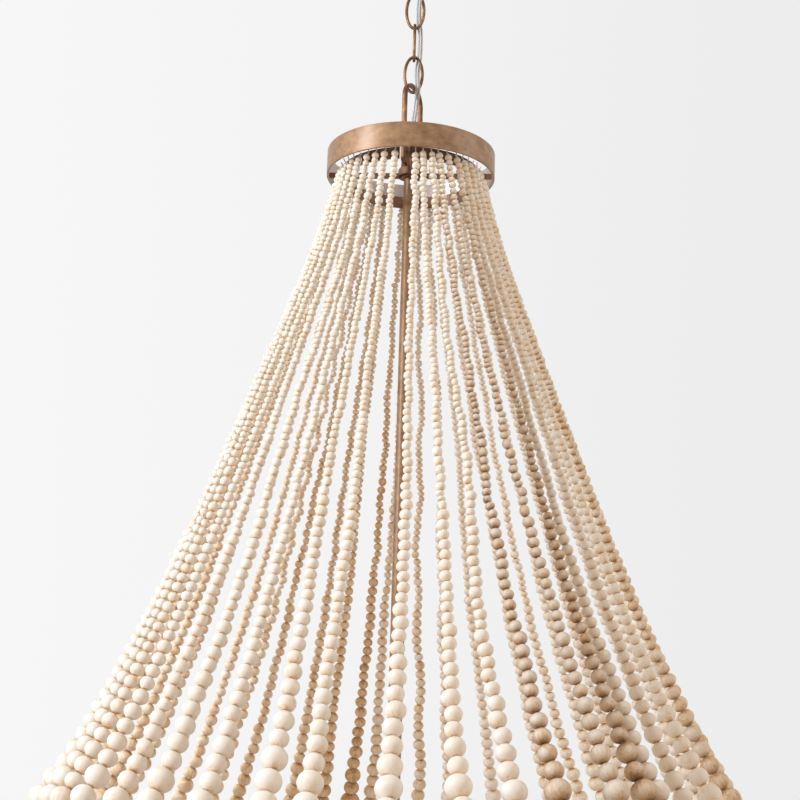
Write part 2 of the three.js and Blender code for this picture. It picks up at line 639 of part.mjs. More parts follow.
// An arm dips as it leaves the hub, then turns up under its candle cup
function lampArm() {
  const start = LAMP_HUB_RADIUS + SEAT_GAP;
  const startHeight = lampHubBottom + LAMP_HUB_HEIGHT / 2;
  const reach = LAMP_CIRCLE_RADIUS - start;
  const route = new THREE.CubicBezierCurve3(
    new THREE.Vector3(start, 0, startHeight),
    new THREE.Vector3(start + reach * ARM_LEVEL_SHARE, 0, startHeight),
    new THREE.Vector3(LAMP_CIRCLE_RADIUS, 0, startHeight - 2 * ARM_SAG),
    new THREE.Vector3(LAMP_CIRCLE_RADIUS, 0, armEndHeight),
  );
  const section = new THREE.Shape().absarc(0, 0, ARM_RADIUS, 0, 2 * Math.PI);
  const settings = { extrudePath: route, steps: ARM_STEPS, curveSegments: ARM_QUARTER_SIDES };
  return closed(new THREE.ExtrudeGeometry(section, { ...settings, bevelEnabled: false }));
}

function candleCup() {
  const rimTop = cupBottom + CUP_HEIGHT;
  const profile = [
    [0, cupBottom],
    [CUP_FLOOR_RADIUS, cupBottom],
    [CUP_BEND_RADIUS, cupBottom + CUP_BEND_HEIGHT],
    [CUP_RADIUS, rimTop],
    [CUP_RADIUS - CUP_WALL, rimTop],
    [CUP_BEND_RADIUS - CUP_WALL, cupBottom + CUP_BEND_HEIGHT + CUP_WALL],
    [CUP_FLOOR_RADIUS, cupFloorTop],
    [0, cupFloorTop],
  ];
  return revolved(profile, SMALL_ROUND_SIDES);
}

function lampSocket() {
  const floor = socketBottom + SOCKET_FLOOR;
  const profile = [
    [0, socketBottom],
    [SOCKET_RADIUS, socketBottom],
    [SOCKET_RADIUS, socketTop],
    [SOCKET_BORE_RADIUS, socketTop],
    [SOCKET_BORE_RADIUS, floor],
    [0, floor],
  ];
  return revolved(profile, SMALL_ROUND_SIDES);
}

function candleCover() {
  return ring(COVER_RADIUS - COVER_WALL, COVER_RADIUS, cupFloorTop + SEAT_GAP, coverTop, SMALL_ROUND_SIDES);
}

// A flame-shaped bulb, its base down in the socket
function bulb() {
  const baseBottom = socketBottom + SOCKET_FLOOR + SEAT_GAP;
  const glassBottom = baseBottom + BULB_BASE_HEIGHT;
  const glassTop = glassBottom + BULB_HEIGHT;
  const glass = BULB_SHARES.map(([widthShare, heightShare]) =>
    [BULB_RADIUS * widthShare, glassBottom + BULB_HEIGHT * heightShare],
  );
  const profile = [
    [0, baseBottom],
    [BULB_NECK_RADIUS, baseBottom],
    [BULB_NECK_RADIUS, glassBottom],
    ...glass,
    [BULB_TIP_RADIUS, glassTop],
    [0, glassTop],
  ];
  return revolved(profile, SMALL_ROUND_SIDES);
}

// A dish whose rim meets the ends of the lower strands
function bottomPlate() {
  const rimTop = plateTop + BOTTOM_PLATE_RIM_HEIGHT;
  const rimInner = BOTTOM_PLATE_RADIUS - BOTTOM_PLATE_RIM_WALL;
  const profile = [
    [NIPPLE_HOLE_RADIUS, plateBottom],
    [BOTTOM_PLATE_RADIUS - BOTTOM_PLATE_THICKNESS, plateBottom],
    [BOTTOM_PLATE_RADIUS, plateTop],
    [BOTTOM_PLATE_RADIUS, rimTop],
    [rimInner, rimTop],
    [rimInner, plateTop],
    [NIPPLE_HOLE_RADIUS, plateTop],
    [NIPPLE_HOLE_RADIUS, plateBottom],
  ];
  return revolved(profile, LARGE_ROUND_SIDES);
}

// A ball finial, threaded on the nipple under the plate
function finial() {
  const top = plateBottom - SEAT_GAP;
  const bottom = top - FINIAL_HEIGHT;
  const ballCentre = bottom + FINIAL_BALL_RADIUS + FINIAL_TIP_HEIGHT;
  const profile = [[0, bottom], [FINIAL_TIP_RADIUS, bottom]];
  for (let i = 1; i < BALL_STEPS; i += 1) {
    const angle = -Math.PI / 2 + (Math.PI * i) / BALL_STEPS;
    profile.push([FINIAL_BALL_RADIUS * Math.cos(angle), ballCentre + FINIAL_BALL_RADIUS * Math.sin(angle)]);
  }
  profile.push([FINIAL_NECK_RADIUS, top - FINIAL_NECK_TOP]);
  profile.push([FINIAL_TOP_RADIUS, top - FINIAL_TOP_HEIGHT]);
  profile.push([FINIAL_TOP_RADIUS, top]);
  profile.push([NIPPLE_HOLE_RADIUS, top]);
  profile.push([NIPPLE_HOLE_RADIUS, plateBottom - NIPPLE_IN_FINIAL - SEAT_GAP]);
  profile.push([0, plateBottom - NIPPLE_IN_FINIAL - SEAT_GAP]);
  return revolved(profile, MEDIUM_ROUND_SIDES);
}

// The cord's route, chosen by hand: down the canopy nipple and the eye, beside the links whose
// planes face sideways, through the windows of the others, then into the stem's nipple
const CORD_ROUTE = [
  [0, 0, -6], [0, 0, -20], [0, 0, -34], [0.4, -0.2, -43], [2.4, -2.6, -51], [4.7, -5, -59],
  [5.5, -5.5, -67], [5.6, -5.2, -76], [5.6, -5.2, -86], [5.2, -5.3, -95], [3.9, -3.7, -103],
  [3.4, 0, -112.5], [3.9, 3.7, -122], [5.2, 5.3, -131], [5.6, 5.2, -140], [5.6, 5.2, -152],
  [5.2, 5.3, -162], [3.9, 3.7, -170], [3.4, 0, -180], [3.9, -3.8, -189], [4.5, -5.6, -198],
  [3.9, -5.2, -207], [2.4, -3.2, -221], [0.8, -1.2, -236], [0, 0, -250], [0, 0, -262], [0, 0, -272],
];

function lampCord() {
  const route = new THREE.CatmullRomCurve3(CORD_ROUTE.map((point) => new THREE.Vector3(...point)));
  const flat = CORD_WIDTH / 2 - CORD_THICKNESS / 2;
  const half = CORD_THICKNESS / 2;
  const section = new THREE.Shape();
  section.absarc(0, flat, half, 0, Math.PI);
  section.absarc(0, -flat, half, Math.PI, 2 * Math.PI);
  const settings = { extrudePath: route, steps: CORD_STEPS, curveSegments: CORD_QUARTER_SIDES };
  return closed(new THREE.ExtrudeGeometry(section, { ...settings, bevelEnabled: false }));
}

const chandelier = new THREE.Group();
chandelier.name = "beaded_chandelier";

function addPiece(name, geometry, material, parent = chandelier) {
  const mesh = new THREE.Mesh(geometry, material);
  mesh.name = name;
  parent.add(mesh);
  return mesh;
}

addPiece("canopy_shell", canopyShell(), finishes.antiqueGold);
addPiece("mounting_strap", mountingStrap(), finishes.zinc);
addPiece("mounting_screw_left", mountingScrew(-1), finishes.zinc);
addPiece("mounting_screw_right", mountingScrew(1), finishes.zinc);
const lockNutTop = strapBottom - SEAT_GAP;
addPiece("canopy_lock_nut", hexNut(lockNutTop - NUT_THICKNESS, lockNutTop), finishes.zinc);
const canopyNippleBottom = canopyLoopTop - CANOPY_NIPPLE_IN_LOOP;
addPiece("canopy_nipple", nipple(canopyNippleBottom, CANOPY_NIPPLE_ABOVE_STRAP), finishes.zinc);
addPiece("canopy_collar", canopyCollar(), finishes.antiqueGold);
addPiece("canopy_loop", canopyLoop(), finishes.antiqueGold);

for (let i = 0; i < LINK_COUNT; i += 1) {
  const link = wireLink(LINK_LENGTH, LINK_WIDTH, LINK_WIRE_RADIUS);
  const mesh = addPiece(`chain_link_${i + 1}`, link, finishes.antiqueGold);
  mesh.position.z = firstLinkTop - i * linkPitch;
  mesh.rotation.z = i % 2 === 0 ? Math.PI / 2 : 0;
}
addPiece("lamp_cord", lampCord(), finishes.clearCord);

const loopFloor = loopBottom + LOOP_BAR_THICKNESS;
const nutBottom = loopFloor + SEAT_GAP;
addPiece("top_loop", topLoop(), finishes.antiqueGold);
addPiece("loop_nut", hexNut(nutBottom, nutBottom + NUT_THICKNESS), finishes.antiqueGold);
addPiece("hub_cup", hubCup(), finishes.darkBronze);
const stemNippleTop = nutBottom + NUT_THICKNESS + NIPPLE_ABOVE_NUT;
addPiece("stem_nipple", nipple(stemTop - NIPPLE_IN_STEM, stemNippleTop), finishes.zinc);
addPiece("crown_spokes", crownSpokes(), finishes.darkBronze);
const crownInner = CROWN_RADIUS - CROWN_BAND_THICKNESS;
const crownBand = ring(crownInner, CROWN_RADIUS, spokeBottom, spokeBottom + CROWN_BAND_HEIGHT, BAND_SIDES);
addPiece("crown_band", crownBand, finishes.antiqueGold);
addPiece("strand_hoop", strandHoop(), finishes.darkBronze);
const stem = ring(STEM_RADIUS - STEM_WALL, STEM_RADIUS, stemBottom, stemTop, MEDIUM_ROUND_SIDES);
addPiece("center_stem", stem, finishes.antiqueGold);

const upperStrand = strand(upperFanCurve(), BEAD_SIZES, UPPER_SIZE_SHARES);
const lowerStrand = strand(basketCurve(), LOWER_BEAD_SIZES, LOWER_SIZE_SHARES);
const upperThreadRadius = HOOP_OUTER_RADIUS + SEAT_GAP + THREAD_RADIUS;
const upperThreadHeight = upperStrandTop - THREAD_RADIUS;
const lowerThreadRadius = LOWER_BAND_RADIUS - LOWER_BAND_THICKNESS - SEAT_GAP - THREAD_RADIUS;
const lowerThreadHeight = basketTop - THREAD_RADIUS;
for (let group = 0; group < STRAND_COUNT / STRANDS_PER_THREAD; group += 1) {
  const upper = threadedStrands(upperStrand, group, upperThreadRadius, upperThreadHeight, EMPTY_UPPER_PLACE);
  addPiece(`upper_strands_${group + 1}`, upper, finishes.paleWood);
  const lower = threadedStrands(lowerStrand, group, lowerThreadRadius, lowerThreadHeight);
  addPiece(`lower_strands_${group + 1}`, lower, finishes.paleWood);
}

addPiece("lower_band", lowerBand(), finishes.antiqueGold);
addPiece("lower_spokes", lowerSpokes(), finishes.darkBronze);
addPiece("lamp_hub", lampHub(), finishes.antiqueGold);
for (let i = 0; i < LAMP_COUNT; i += 1) {
  const arm = new THREE.Group();
  arm.rotation.z = THREE.MathUtils.degToRad(LAMP_TURN_DEGREES) + (2 * Math.PI * i) / LAMP_COUNT;
  chandelier.add(arm);
  addPiece(`lamp_arm_${i + 1}`, lampArm(), finishes.antiqueGold, arm);
  const candle = new THREE.Group();
  candle.position.x = LAMP_CIRCLE_RADIUS;
  arm.add(candle);
  addPiece(`candle_cup_${i + 1}`, candleCup(), finishes.antiqueGold, candle);
  addPiece(`lamp_socket_${i + 1}`, lampSocket(), finishes.socket, candle);
  addPiece(`candle_cover_${i + 1}`, candleCover(), finishes.candle, candle);
  addPiece(`bulb_${i + 1}`, bulb(), finishes.bulbGlass, candle);
}

addPiece("bottom_plate", bottomPlate(), finishes.antiqueGold);
const bottomNippleTop = stemBottom + NIPPLE_IN_STEM;
addPiece("bottom_nipple", nipple(plateBottom - NIPPLE_IN_FINIAL, bottomNippleTop), finishes.zinc);
addPiece("finial", finial(), finishes.antiqueGold);

export default chandelier;
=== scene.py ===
"""Looks of the beaded chandelier: its beads, threads, metals, cord, lamps, light and camera."""

import math
import random

import bmesh
import bpy
import numpy as np
from mathutils import Matrix, Vector


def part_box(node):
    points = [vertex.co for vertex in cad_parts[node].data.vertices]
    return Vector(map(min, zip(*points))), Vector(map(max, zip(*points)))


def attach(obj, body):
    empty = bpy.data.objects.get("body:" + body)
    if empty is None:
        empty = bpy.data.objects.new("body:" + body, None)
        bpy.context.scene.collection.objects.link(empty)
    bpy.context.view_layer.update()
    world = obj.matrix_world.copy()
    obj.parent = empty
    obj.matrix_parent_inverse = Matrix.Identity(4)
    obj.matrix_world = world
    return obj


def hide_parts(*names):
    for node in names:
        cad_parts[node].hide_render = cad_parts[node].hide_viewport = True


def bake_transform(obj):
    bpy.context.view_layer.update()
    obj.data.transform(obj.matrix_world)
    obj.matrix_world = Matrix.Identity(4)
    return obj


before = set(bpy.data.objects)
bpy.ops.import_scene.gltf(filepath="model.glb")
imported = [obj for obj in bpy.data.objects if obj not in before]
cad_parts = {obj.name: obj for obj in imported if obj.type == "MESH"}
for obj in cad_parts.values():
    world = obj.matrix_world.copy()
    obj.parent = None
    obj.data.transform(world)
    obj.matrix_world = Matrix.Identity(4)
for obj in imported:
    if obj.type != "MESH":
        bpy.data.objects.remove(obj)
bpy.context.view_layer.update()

# Lengths are in millimetres until a mesh is made
MM = 0.001
TURN = 2 * math.pi
chance = random.Random(11)


def extent(name):
    """(outer radius, bottom, top) of a node. The radius is right for nodes round the chandelier's axis."""
    low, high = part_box(name)
    return tuple(round(value / MM, 3) for value in (high.x, low.z, high.z))


# Bands and hoop: radii and height from the frame, then the bands' wall and rounding
CROWN_RADIUS = extent("crown_band")[0]
LOWER_BAND_RADIUS = extent("lower_band")[0]
HOOP_RADIUS, _, HOOP_TOP = extent("strand_hoop")
BAND_WALL = 2
BAND_BEVEL = 0.5

# Strands, as in the solids
STRAND_COUNT = 48
STRAND_STEP = TURN / STRAND_COUNT
STRANDS_PER_GROUP = 8
EMPTY_UPPER_PLACE = 47
STRAND_TOP_RADIUS = 68.8
STRAND_TOP = -289.3
STRAND_FALL = 614.7
BASKET_TOP_RADIUS = 315.7
BASKET_TOP = -915.3
BASKET_HEIGHT = 226
BASKET_END_RADIUS = 44.3

# Shares of the way out and of the way down through which an upper strand passes
FAN_SHARES = [
    (0, 0), (0.03, 0.05), (0.096, 0.145), (0.222, 0.29),
    (0.393, 0.485), (0.578, 0.68), (0.807, 0.88), (1, 1),
]

# Wire loops that hang in each other: radius of the wire, and length and width over all
LINK_WIRE = 1.5
LINK_LENGTH = 40
LINK_WIDTH = 20
LINK_COUNT = 4
EYE_WIRE = 2.0
EYE_LENGTH = 28
EYE_WIDTH = 23
EYE_TOP = -38.6
WIRE_GAP = 0.3
EYE_HINGE = EYE_TOP - EYE_LENGTH + EYE_WIRE
FIRST_LINK_TOP = EYE_HINGE + EYE_WIRE + WIRE_GAP + 2 * LINK_WIRE
LINK_PITCH = LINK_LENGTH - 4 * LINK_WIRE - WIRE_GAP
LINK_TOPS = [FIRST_LINK_TOP - LINK_PITCH * number for number in range(LINK_COUNT)]

# Inner radii of threaded nipples, of the stem, and of what the nipples pass through
NIPPLE_BORE = 3.7
STEM_BORE = 5.4
NIPPLE_HOLE = 5.4


# Curves

def catmull(points, share):
    """Uniform Catmull-Rom through points, as the solids follow it."""
    last = len(points) - 1
    place = last * share
    i = min(int(place), last)
    weight = place - i
    p0, p1 = points[max(i - 1, 0)], points[i]
    p2, p3 = points[min(i + 1, last)], points[min(i + 2, last)]
    result = []
    for a, b, c, d in zip(p0, p1, p2, p3):
        start, end = (c - a) / 2, (d - b) / 2
        cubic = 2 * b - 2 * c + start + end
        square = -3 * b + 3 * c - 2 * start - end
        result.append(cubic * weight**3 + square * weight**2 + start * weight + b)
    return result


def catmull_path(points, steps):
    return np.array([catmull(points, k / steps) for k in range(steps + 1)])


def bezier_path(corners, steps):
    t = np.linspace(0, 1, steps + 1)[:, None]
    a, b, c, d = (np.array(corner, dtype=float) for corner in corners)
    return (1 - t) ** 3 * a + 3 * (1 - t) ** 2 * t * b + 3 * (1 - t) * t**2 * c + t**3 * d


def run_along(path):
    """The length of the path from its first point to each of its points."""
    return np.concatenate([[0], np.cumsum(np.linalg.norm(np.diff(path, axis=0), axis=1))])


# Meshes

def new_object(name, points, faces, materials, face_slots=None, grain=None, smooth=True, **point_values):
    """A mesh object from points in millimetres. faces is one array of quads or a list of faces."""
    mesh = bpy.data.meshes.new(name)
    points = np.asarray(points, dtype=np.float64) * MM
    if isinstance(faces, np.ndarray):
        mesh.vertices.add(len(points))
        mesh.vertices.foreach_set("co", points.ravel())
        mesh.loops.add(faces.size)
        mesh.loops.foreach_set("vertex_index", faces.ravel())
        mesh.polygons.add(len(faces))
        mesh.polygons.foreach_set("loop_start", np.arange(0, faces.size, faces.shape[1]))
        mesh.polygons.foreach_set("loop_total", np.full(len(faces), faces.shape[1]))
        mesh.update(calc_edges=True)
    else:
        mesh.from_pydata(points.tolist(), [], [list(map(int, face)) for face in faces])
    mesh.polygons.foreach_set("use_smooth", np.full(len(mesh.polygons), smooth))
    for material in materials:
        mesh.materials.append(material)
    if face_slots is not None:
        mesh.polygons.foreach_set("material_index", np.asarray(face_slots, dtype=np.int32))
    if grain is not None:
        layer = mesh.attributes.new("grain", "FLOAT_VECTOR", "POINT")
        layer.data.foreach_set("vector", (np.asarray(grain, dtype=np.float64) * MM).ravel())
    for label, values in point_values.items():
        layer = mesh.attributes.new(label, "FLOAT", "POINT")
        layer.data.foreach_set("value", np.asarray(values, dtype=np.float64))
    mesh.validate(clean_customdata=False)
    piece = bpy.data.objects.new(name, mesh)
    bpy.context.scene.collection.objects.link(piece)
    return piece


def outward(piece):
    """Turns the faces to point out of the body that they close."""
    body = bmesh.new()
    body.from_mesh(piece.data)
    bmesh.ops.recalc_face_normals(body, faces=body.faces)
    body.to_mesh(piece.data)
    body.free()


def grid(rows, columns, closed):
    """Quads between rows of points round a form, and the faces that close its two ends."""
    quads = []
    for i in range(rows if closed else rows - 1):
        here, there = i * columns, ((i + 1) % rows) * columns
        for k in range(columns):
            after = (k + 1) % columns
            quads.append((here + k, here + after, there + after, there + k))
    last = (rows - 1) * columns
    ends = [] if closed else [tuple(range(columns))[::-1], tuple(range(last, last + columns))]
    return quads, ends


def flat_grid(rows, columns):
    """Where each corner of each quad in an open grid lies on a unit square."""
    flat = []
    for i in range(rows - 1):
        low, high = i / (rows - 1), (i + 1) / (rows - 1)
        for k in range(columns):
            left, right = k / columns, (k + 1) / columns
            flat.append([(left, low), (right, low), (right, high), (left, high)])
    return np.array(flat)


# A corner blunter than this, or with a side shorter than this, stays as it is
NEARLY_STRAIGHT = math.radians(150)
SHORTEST_SIDE = 1e-6


def rounded(profile, radius, steps=3):
    """The profile with its sharp corners made small arcs. A closed profile repeats its first point."""
    closed = profile[0] == profile[-1]
    points = [Vector(point) for point in (profile[:-1] if closed else profile)]
    count = len(points)
    result = []
    for i, here in enumerate(points):
        back, ahead = points[i - 1] - here, points[(i + 1) % count] - here
        loose_end = not closed and i in (0, count - 1)
        short = min(back.length, ahead.length) < SHORTEST_SIDE
        if loose_end or short or back.angle(ahead) > NEARLY_STRAIGHT:
            result.append(here)
            continue
        reach = min(radius, 0.45 * back.length, 0.45 * ahead.length)
        first, last = here + back.normalized() * reach, here + ahead.normalized() * reach
        for k in range(steps + 1):
            share = k / steps
            result.append(first.lerp(here, share).lerp(here.lerp(last, share), share))
    if closed:
        result.append(result[0])
    return [tuple(point) for point in result]


def turned(name, profile, materials, segments, bevel, centre=(0, 0), slots=None):
    """A profile of (radius, height) turned about a vertical line."""
    profile = rounded(profile, bevel) if bevel else list(profile)
    closed = profile[0] == profile[-1]
    if closed:
        profile = profile[:-1]
    mean_radius = max(radius for radius, _ in profile)
    angles = np.arange(segments) * TURN / segments
    points, grain = [], []
    for (radius, height), run in zip(profile, run_along(np.array(profile))):
        radius = max(radius, 0.001)
        across = centre[0] + radius * np.cos(angles)
        deep = centre[1] + radius * np.sin(angles)
        points.append(np.stack([across, deep, np.full(segments, height)], 1))
        grain.append(np.stack([angles * mean_radius, np.full(segments, run), np.zeros(segments)], 1))
    quads, ends = grid(len(profile), segments, closed)
    face_slots = [slots(profile[i // segments]) for i in range(len(quads))] if slots else None
    points, grain = np.concatenate(points), np.concatenate(grain)
    piece = new_object(name, points, quads + ends, materials, face_slots, grain)
    outward(piece)
    return piece


# Where no way up is given, a section's side starts square to this
ANY_WAY = (0.3, 0.9, 0.1)


def section_sides(ahead, up):
    """The sideways direction at each point of a path, from its directions."""
    if up is not None:
        sides = np.cross(np.asarray(up, dtype=float), ahead)
        return sides / np.linalg.norm(sides, axis=1)[:, None]
    side = np.cross(ahead[0], ANY_WAY)
    side /= np.linalg.norm(side)
    sides = []
    for direction in ahead:
        side = side - direction * np.dot(side, direction)
        side /= np.linalg.norm(side)
        sides.append(side)
    return np.array(sides)


def swept(points, section, closed=False, up=None):
    """Arrays (points, quads, grain, ends) of a section of (side, up) points carried along a path."""
    path = np.asarray(points, dtype=float)
    section = np.asarray(section, dtype=float)
    count, corners = len(path), len(section)
    if closed:
        ahead = np.roll(path, -1, 0) - np.roll(path, 1, 0)
    else:
        ahead = np.gradient(path, axis=0)
    ahead /= np.linalg.norm(ahead, axis=1)[:, None]
    sides = section_sides(ahead, up)
    ups = np.cross(ahead, sides)
    off_side = sides[:, None, :] * section[None, :, 0, None]
    off_up = ups[:, None, :] * section[None, :, 1, None]
    body = path[:, None, :] + off_side + off_up
    along, around = np.repeat(run_along(path), corners), np.tile(run_along(section), count)
    grain = np.stack([along, around, np.zeros(count * corners)], 1)
    quads, ends = grid(count, corners, closed)
    return body.reshape(-1, 3), quads, grain, ends


def round_section(radius, sides, flat=0.0):
    """A circle, or a stadium whose straight sides are 2 * flat long."""
    angles = [TURN * k / sides for k in range(sides)]
    return [(radius * math.cos(a) + math.copysign(flat, math.cos(a)), radius * math.sin(a)) for a in angles]


def bar_section(width, height, radius, steps=3):
    """A rectangle with rounded corners."""
    result = []
    for i, (right, up) in enumerate([(1, 1), (-1, 1), (-1, -1), (1, -1)]):
        for k in range(steps + 1):
            angle = math.pi / 2 * (i + k / steps)
            side = right * (width / 2 - radius) + radius * math.cos(angle)
            result.append((side, up * (height / 2 - radius) + radius * math.sin(angle)))
    return result


def tube(name, path, section, materials, closed=False, up=None, capped=True):
    """A section swept along a path as an object."""
    points, quads, grain, ends = swept(path, section, closed, up)
    piece = new_object(name, points, quads + ends if capped else quads, materials, grain=grain)
    outward(piece)
    return piece


def ring_profile(inner, outer, bottom, top):
    return [(inner, bottom), (outer, bottom), (outer, top), (inner, top), (inner, bottom)]


# Shader nodes

def shader(name):
    material = bpy.data.materials.new(name)
    material.use_nodes = True
    return material, material.node_tree, material.node_tree.nodes["Principled BSDF"]


def feed(tree, node, inputs):
    """Gives a node's inputs, by name or number, a value or a link from another node's output."""
    for key, value in inputs.items():
        if isinstance(value, bpy.types.NodeSocket):
            tree.links.new(value, node.inputs[key])
        else:
            node.inputs[key].default_value = value
    return node


def new_node(tree, kind, inputs, output):
    return feed(tree, tree.nodes.new(kind), inputs).outputs[output]


def ramp(tree, source, stops):
    made = tree.nodes.new("ShaderNodeValToRGB")
    elements = made.color_ramp.elements
    while len(elements) < len(stops):
        elements.new(0.5)
    for element, (place, colour) in zip(elements, stops):
        element.position = place
        element.color = (*colour, 1)
    return feed(tree, made, {"Fac": source}).outputs["Color"]


def spread(tree, source, low, high, new_low, new_high):
    """The source's values from low to high carried over to the new range."""
    inputs = {"Value": source, "From Min": low, "From Max": high, "To Min": new_low, "To Max": new_high}
    return new_node(tree, "ShaderNodeMapRange", inputs, "Result")


def noise(tree, vector, scale, detail=3.0, roughness=0.55, stretch=None):
    if stretch is not None:
        vector = new_node(tree, "ShaderNodeMapping", {"Vector": vector, "Scale": stretch}, "Vector")
    inputs = {"Vector": vector, "Scale": scale, "Detail": detail, "Roughness": roughness}
    return new_node(tree, "ShaderNodeTexNoise", inputs, "Fac")


def math_node(tree, operation, first, second):
    made = tree.nodes.new("ShaderNodeMath")
    made.operation = operation
    return feed(tree, made, {0: first, 1: second}).outputs["Value"]


def weighted(tree, *terms):
    """The sum of (source, weight) terms."""
    parts = [math_node(tree, "MULTIPLY", source, weight) for source, weight in terms]
    total = parts[0]
    for part in parts[1:]:
        total = math_node(tree, "ADD", total, part)
    return total


def bump(tree, height, strength, distance):
    """Small relief. The distance is in metres."""
    inputs = {"Height": height, "Strength": strength, "Distance": distance}
    return new_node(tree, "ShaderNodeBump", inputs, "Normal")


def attribute(tree, name, output):
    made = tree.nodes.new("ShaderNodeAttribute")
    made.attribute_name = name
    return made.outputs[output]


def object_place(tree):
    return tree.nodes.new("ShaderNodeTexCoord").outputs["Object"]


# Kinds of material

def metal(name, stops, metallic, roughness, streaks, patch, streak_share, own_grain=True, coat=0.0):
    """Brushed or cast metal: large patches of tone with fine streaks over them."""
    material, tree, principled = shader(name)
    place = object_place(tree)
    patches = noise(tree, place, patch, 4.0)
    streak = noise(tree, attribute(tree, "grain", "Vector") if own_grain else place, 1.0, 3.0, 0.6, streaks)
    tone = weighted(tree, (patches, 1 - streak_share), (streak, streak_share))
    feed(tree, principled, {
        "Base Color": ramp(tree, tone, stops),
        "Roughness": spread(tree, tone, 0.3, 0.7, *roughness),
        "Metallic": metallic,
        "Coat Weight": coat,
        "Coat Roughness": 0.28,
        "Normal": bump(tree, streak, 0.25, 0.0003),
    })
    return material


def plain(name, colour, roughness, spot, scale, metallic=0.0):
    """A material of one colour with a slight mottle."""
    material, tree, principled = shader(name)
    mottle = noise(tree, object_place(tree), scale)
    low = tuple(max(channel * (1 - spot * 2), 0) for channel in colour)
    high = tuple(min(channel * (1 + spot), 1) for channel in colour)
    feed(tree, principled, {
        "Base Color": ramp(tree, mottle, [(0.35, low), (0.65, high)]),
        "Roughness": spread(tree, mottle, 0.3, 0.7, roughness * 0.9, min(roughness * 1.1, 1)),
        "Metallic": metallic,
        "Normal": bump(tree, mottle, 0.2, 0.0001),
    })
    return material


def clear(name, tint, seen_through, roughness, edge):
    """Thin clear plastic or glass: see-through face on, glossier and more solid at its edges."""
    material, tree, principled = shader(name)
    facing = new_node(tree, "ShaderNodeLayerWeight", {"Blend": 0.35}, "Facing")
    alpha = spread(tree, facing, 0, 1, 1 - seen_through, edge)
    feed(tree, principled, {"Base Color": (*tint, 1), "Roughness": roughness, "IOR": 1.45, "Alpha": alpha})
    return material


# Whitewashed wood, from its darkest grain to its palest, and the grey that full painted shade multiplies it
# by
WOOD_STOPS = [
    (0.28, (0.52, 0.345, 0.20)), (0.40, (0.86, 0.64, 0.41)),
    (0.52, (0.92, 0.86, 0.78)), (0.66, (0.95, 0.93, 0.90)),
]
PAINTED_SHADE_GREY = (0.55, 0.47, 0.43)


def bead_wood():
    """Whitewashed wood: pale, with darker grain in thin lines, a tone for each bead that also holds painted
    light and shade, and the grey of painted shade multiplied in.
    """
    material, tree, principled = shader("whitewashed_wood")
    point = attribute(tree, "grain", "Vector")
    rings = noise(tree, point, 1.0, 4.0, 0.6, (90, 420, 420))
    fine = noise(tree, point, 1.0, 2.0, 0.5, (300, 2600, 2600))
    wash = noise(tree, point, 130, 3.0)
    tone_with_painted_light = spread(tree, attribute(tree, "tone", "Fac"), 0, 1, -0.16, 0.14)
    grain = math_node(tree, "ADD", weighted(tree, (rings, 0.45), (fine, 0.25), (wash, 0.3)), tone_with_painted_light)
    # Painted shade: the wood's colour times the shade grey, as far as the shade attribute asks
    shaded = tree.nodes.new("ShaderNodeMixRGB")
    shaded.blend_type = "MULTIPLY"
    feed(tree, shaded, {
        "Fac": attribute(tree, "shade", "Fac"),
        "Color1": ramp(tree, grain, WOOD_STOPS),
        "Color2": (*PAINTED_SHADE_GREY, 1),
    })
    feed(tree, principled, {
        "Base Color": shaded.outputs["Color"],
        "Roughness": spread(tree, grain, 0.35, 0.65, 0.72, 0.5),
        "Normal": bump(tree, grain, 0.35, 0.0002),
    })
    return material


# Materials

gold = metal(
    "antique_gold",
    stops=[(0.36, (0.225, 0.117, 0.054)), (0.5, (0.31, 0.172, 0.083)), (0.64, (0.41, 0.245, 0.126))],
    metallic=0.55, roughness=(0.5, 0.64), streaks=(140, 200, 1), patch=90, streak_share=0.5, coat=0.45,
)
gold_cast = metal(
    "antique_gold_cast",
    stops=[(0.38, (0.10, 0.042, 0.018)), (0.5, (0.21, 0.098, 0.044)), (0.62, (0.38, 0.205, 0.105))],
    metallic=0.7, roughness=(0.38, 0.52), streaks=(300, 300, 300), patch=45,
    streak_share=0.4, own_grain=False,
)
bronze = metal(
    "dark_bronze",
    stops=[(0.35, (0.12, 0.058, 0.032)), (0.55, (0.25, 0.13, 0.075)), (0.7, (0.38, 0.21, 0.12))],
    metallic=0.4, roughness=(0.42, 0.6), streaks=(500, 500, 500), patch=60,
    streak_share=0.5, own_grain=False,
)
pale_inside = metal(
    "brushed_inside",
    stops=[(0.36, (0.34, 0.27, 0.25)), (0.5, (0.5, 0.41, 0.38)), (0.64, (0.66, 0.57, 0.53))],
    metallic=0.6, roughness=(0.34, 0.5), streaks=(500, 900, 1), patch=40, streak_share=0.55,
)
zinc = metal(
    "zinc",
    stops=[(0.35, (0.42, 0.43, 0.44)), (0.65, (0.66, 0.67, 0.67))],
    metallic=0.9, roughness=(0.25, 0.42), streaks=(400, 400, 400), patch=80,
    streak_share=0.5, own_grain=False,
)
conductor = {
    "metallic": 0.5, "roughness": (0.28, 0.4), "streaks": (900, 2500, 1), "patch": 60, "streak_share": 0.7,
}
copper = metal("copper_strands", [(0.35, (0.26, 0.17, 0.14)), (0.65, (0.46, 0.34, 0.29))], **conductor)
silver = metal("tinned_strands", [(0.35, (0.26, 0.29, 0.33)), (0.65, (0.46, 0.49, 0.53))], **conductor)
wood = bead_wood()
cotton = plain("cotton_thread", (0.86, 0.83, 0.77), roughness=0.85, spot=0.08, scale=1500.0)
candle = plain("candle_sleeve", (0.80, 0.73, 0.60), roughness=0.55, spot=0.05, scale=60.0)
black = plain("socket_black", (0.03, 0.03, 0.032), roughness=0.45, spot=0.2, scale=200.0)
filament = plain("filament", (0.5, 0.36, 0.2), roughness=0.4, spot=0.06, scale=300.0, metallic=0.6)
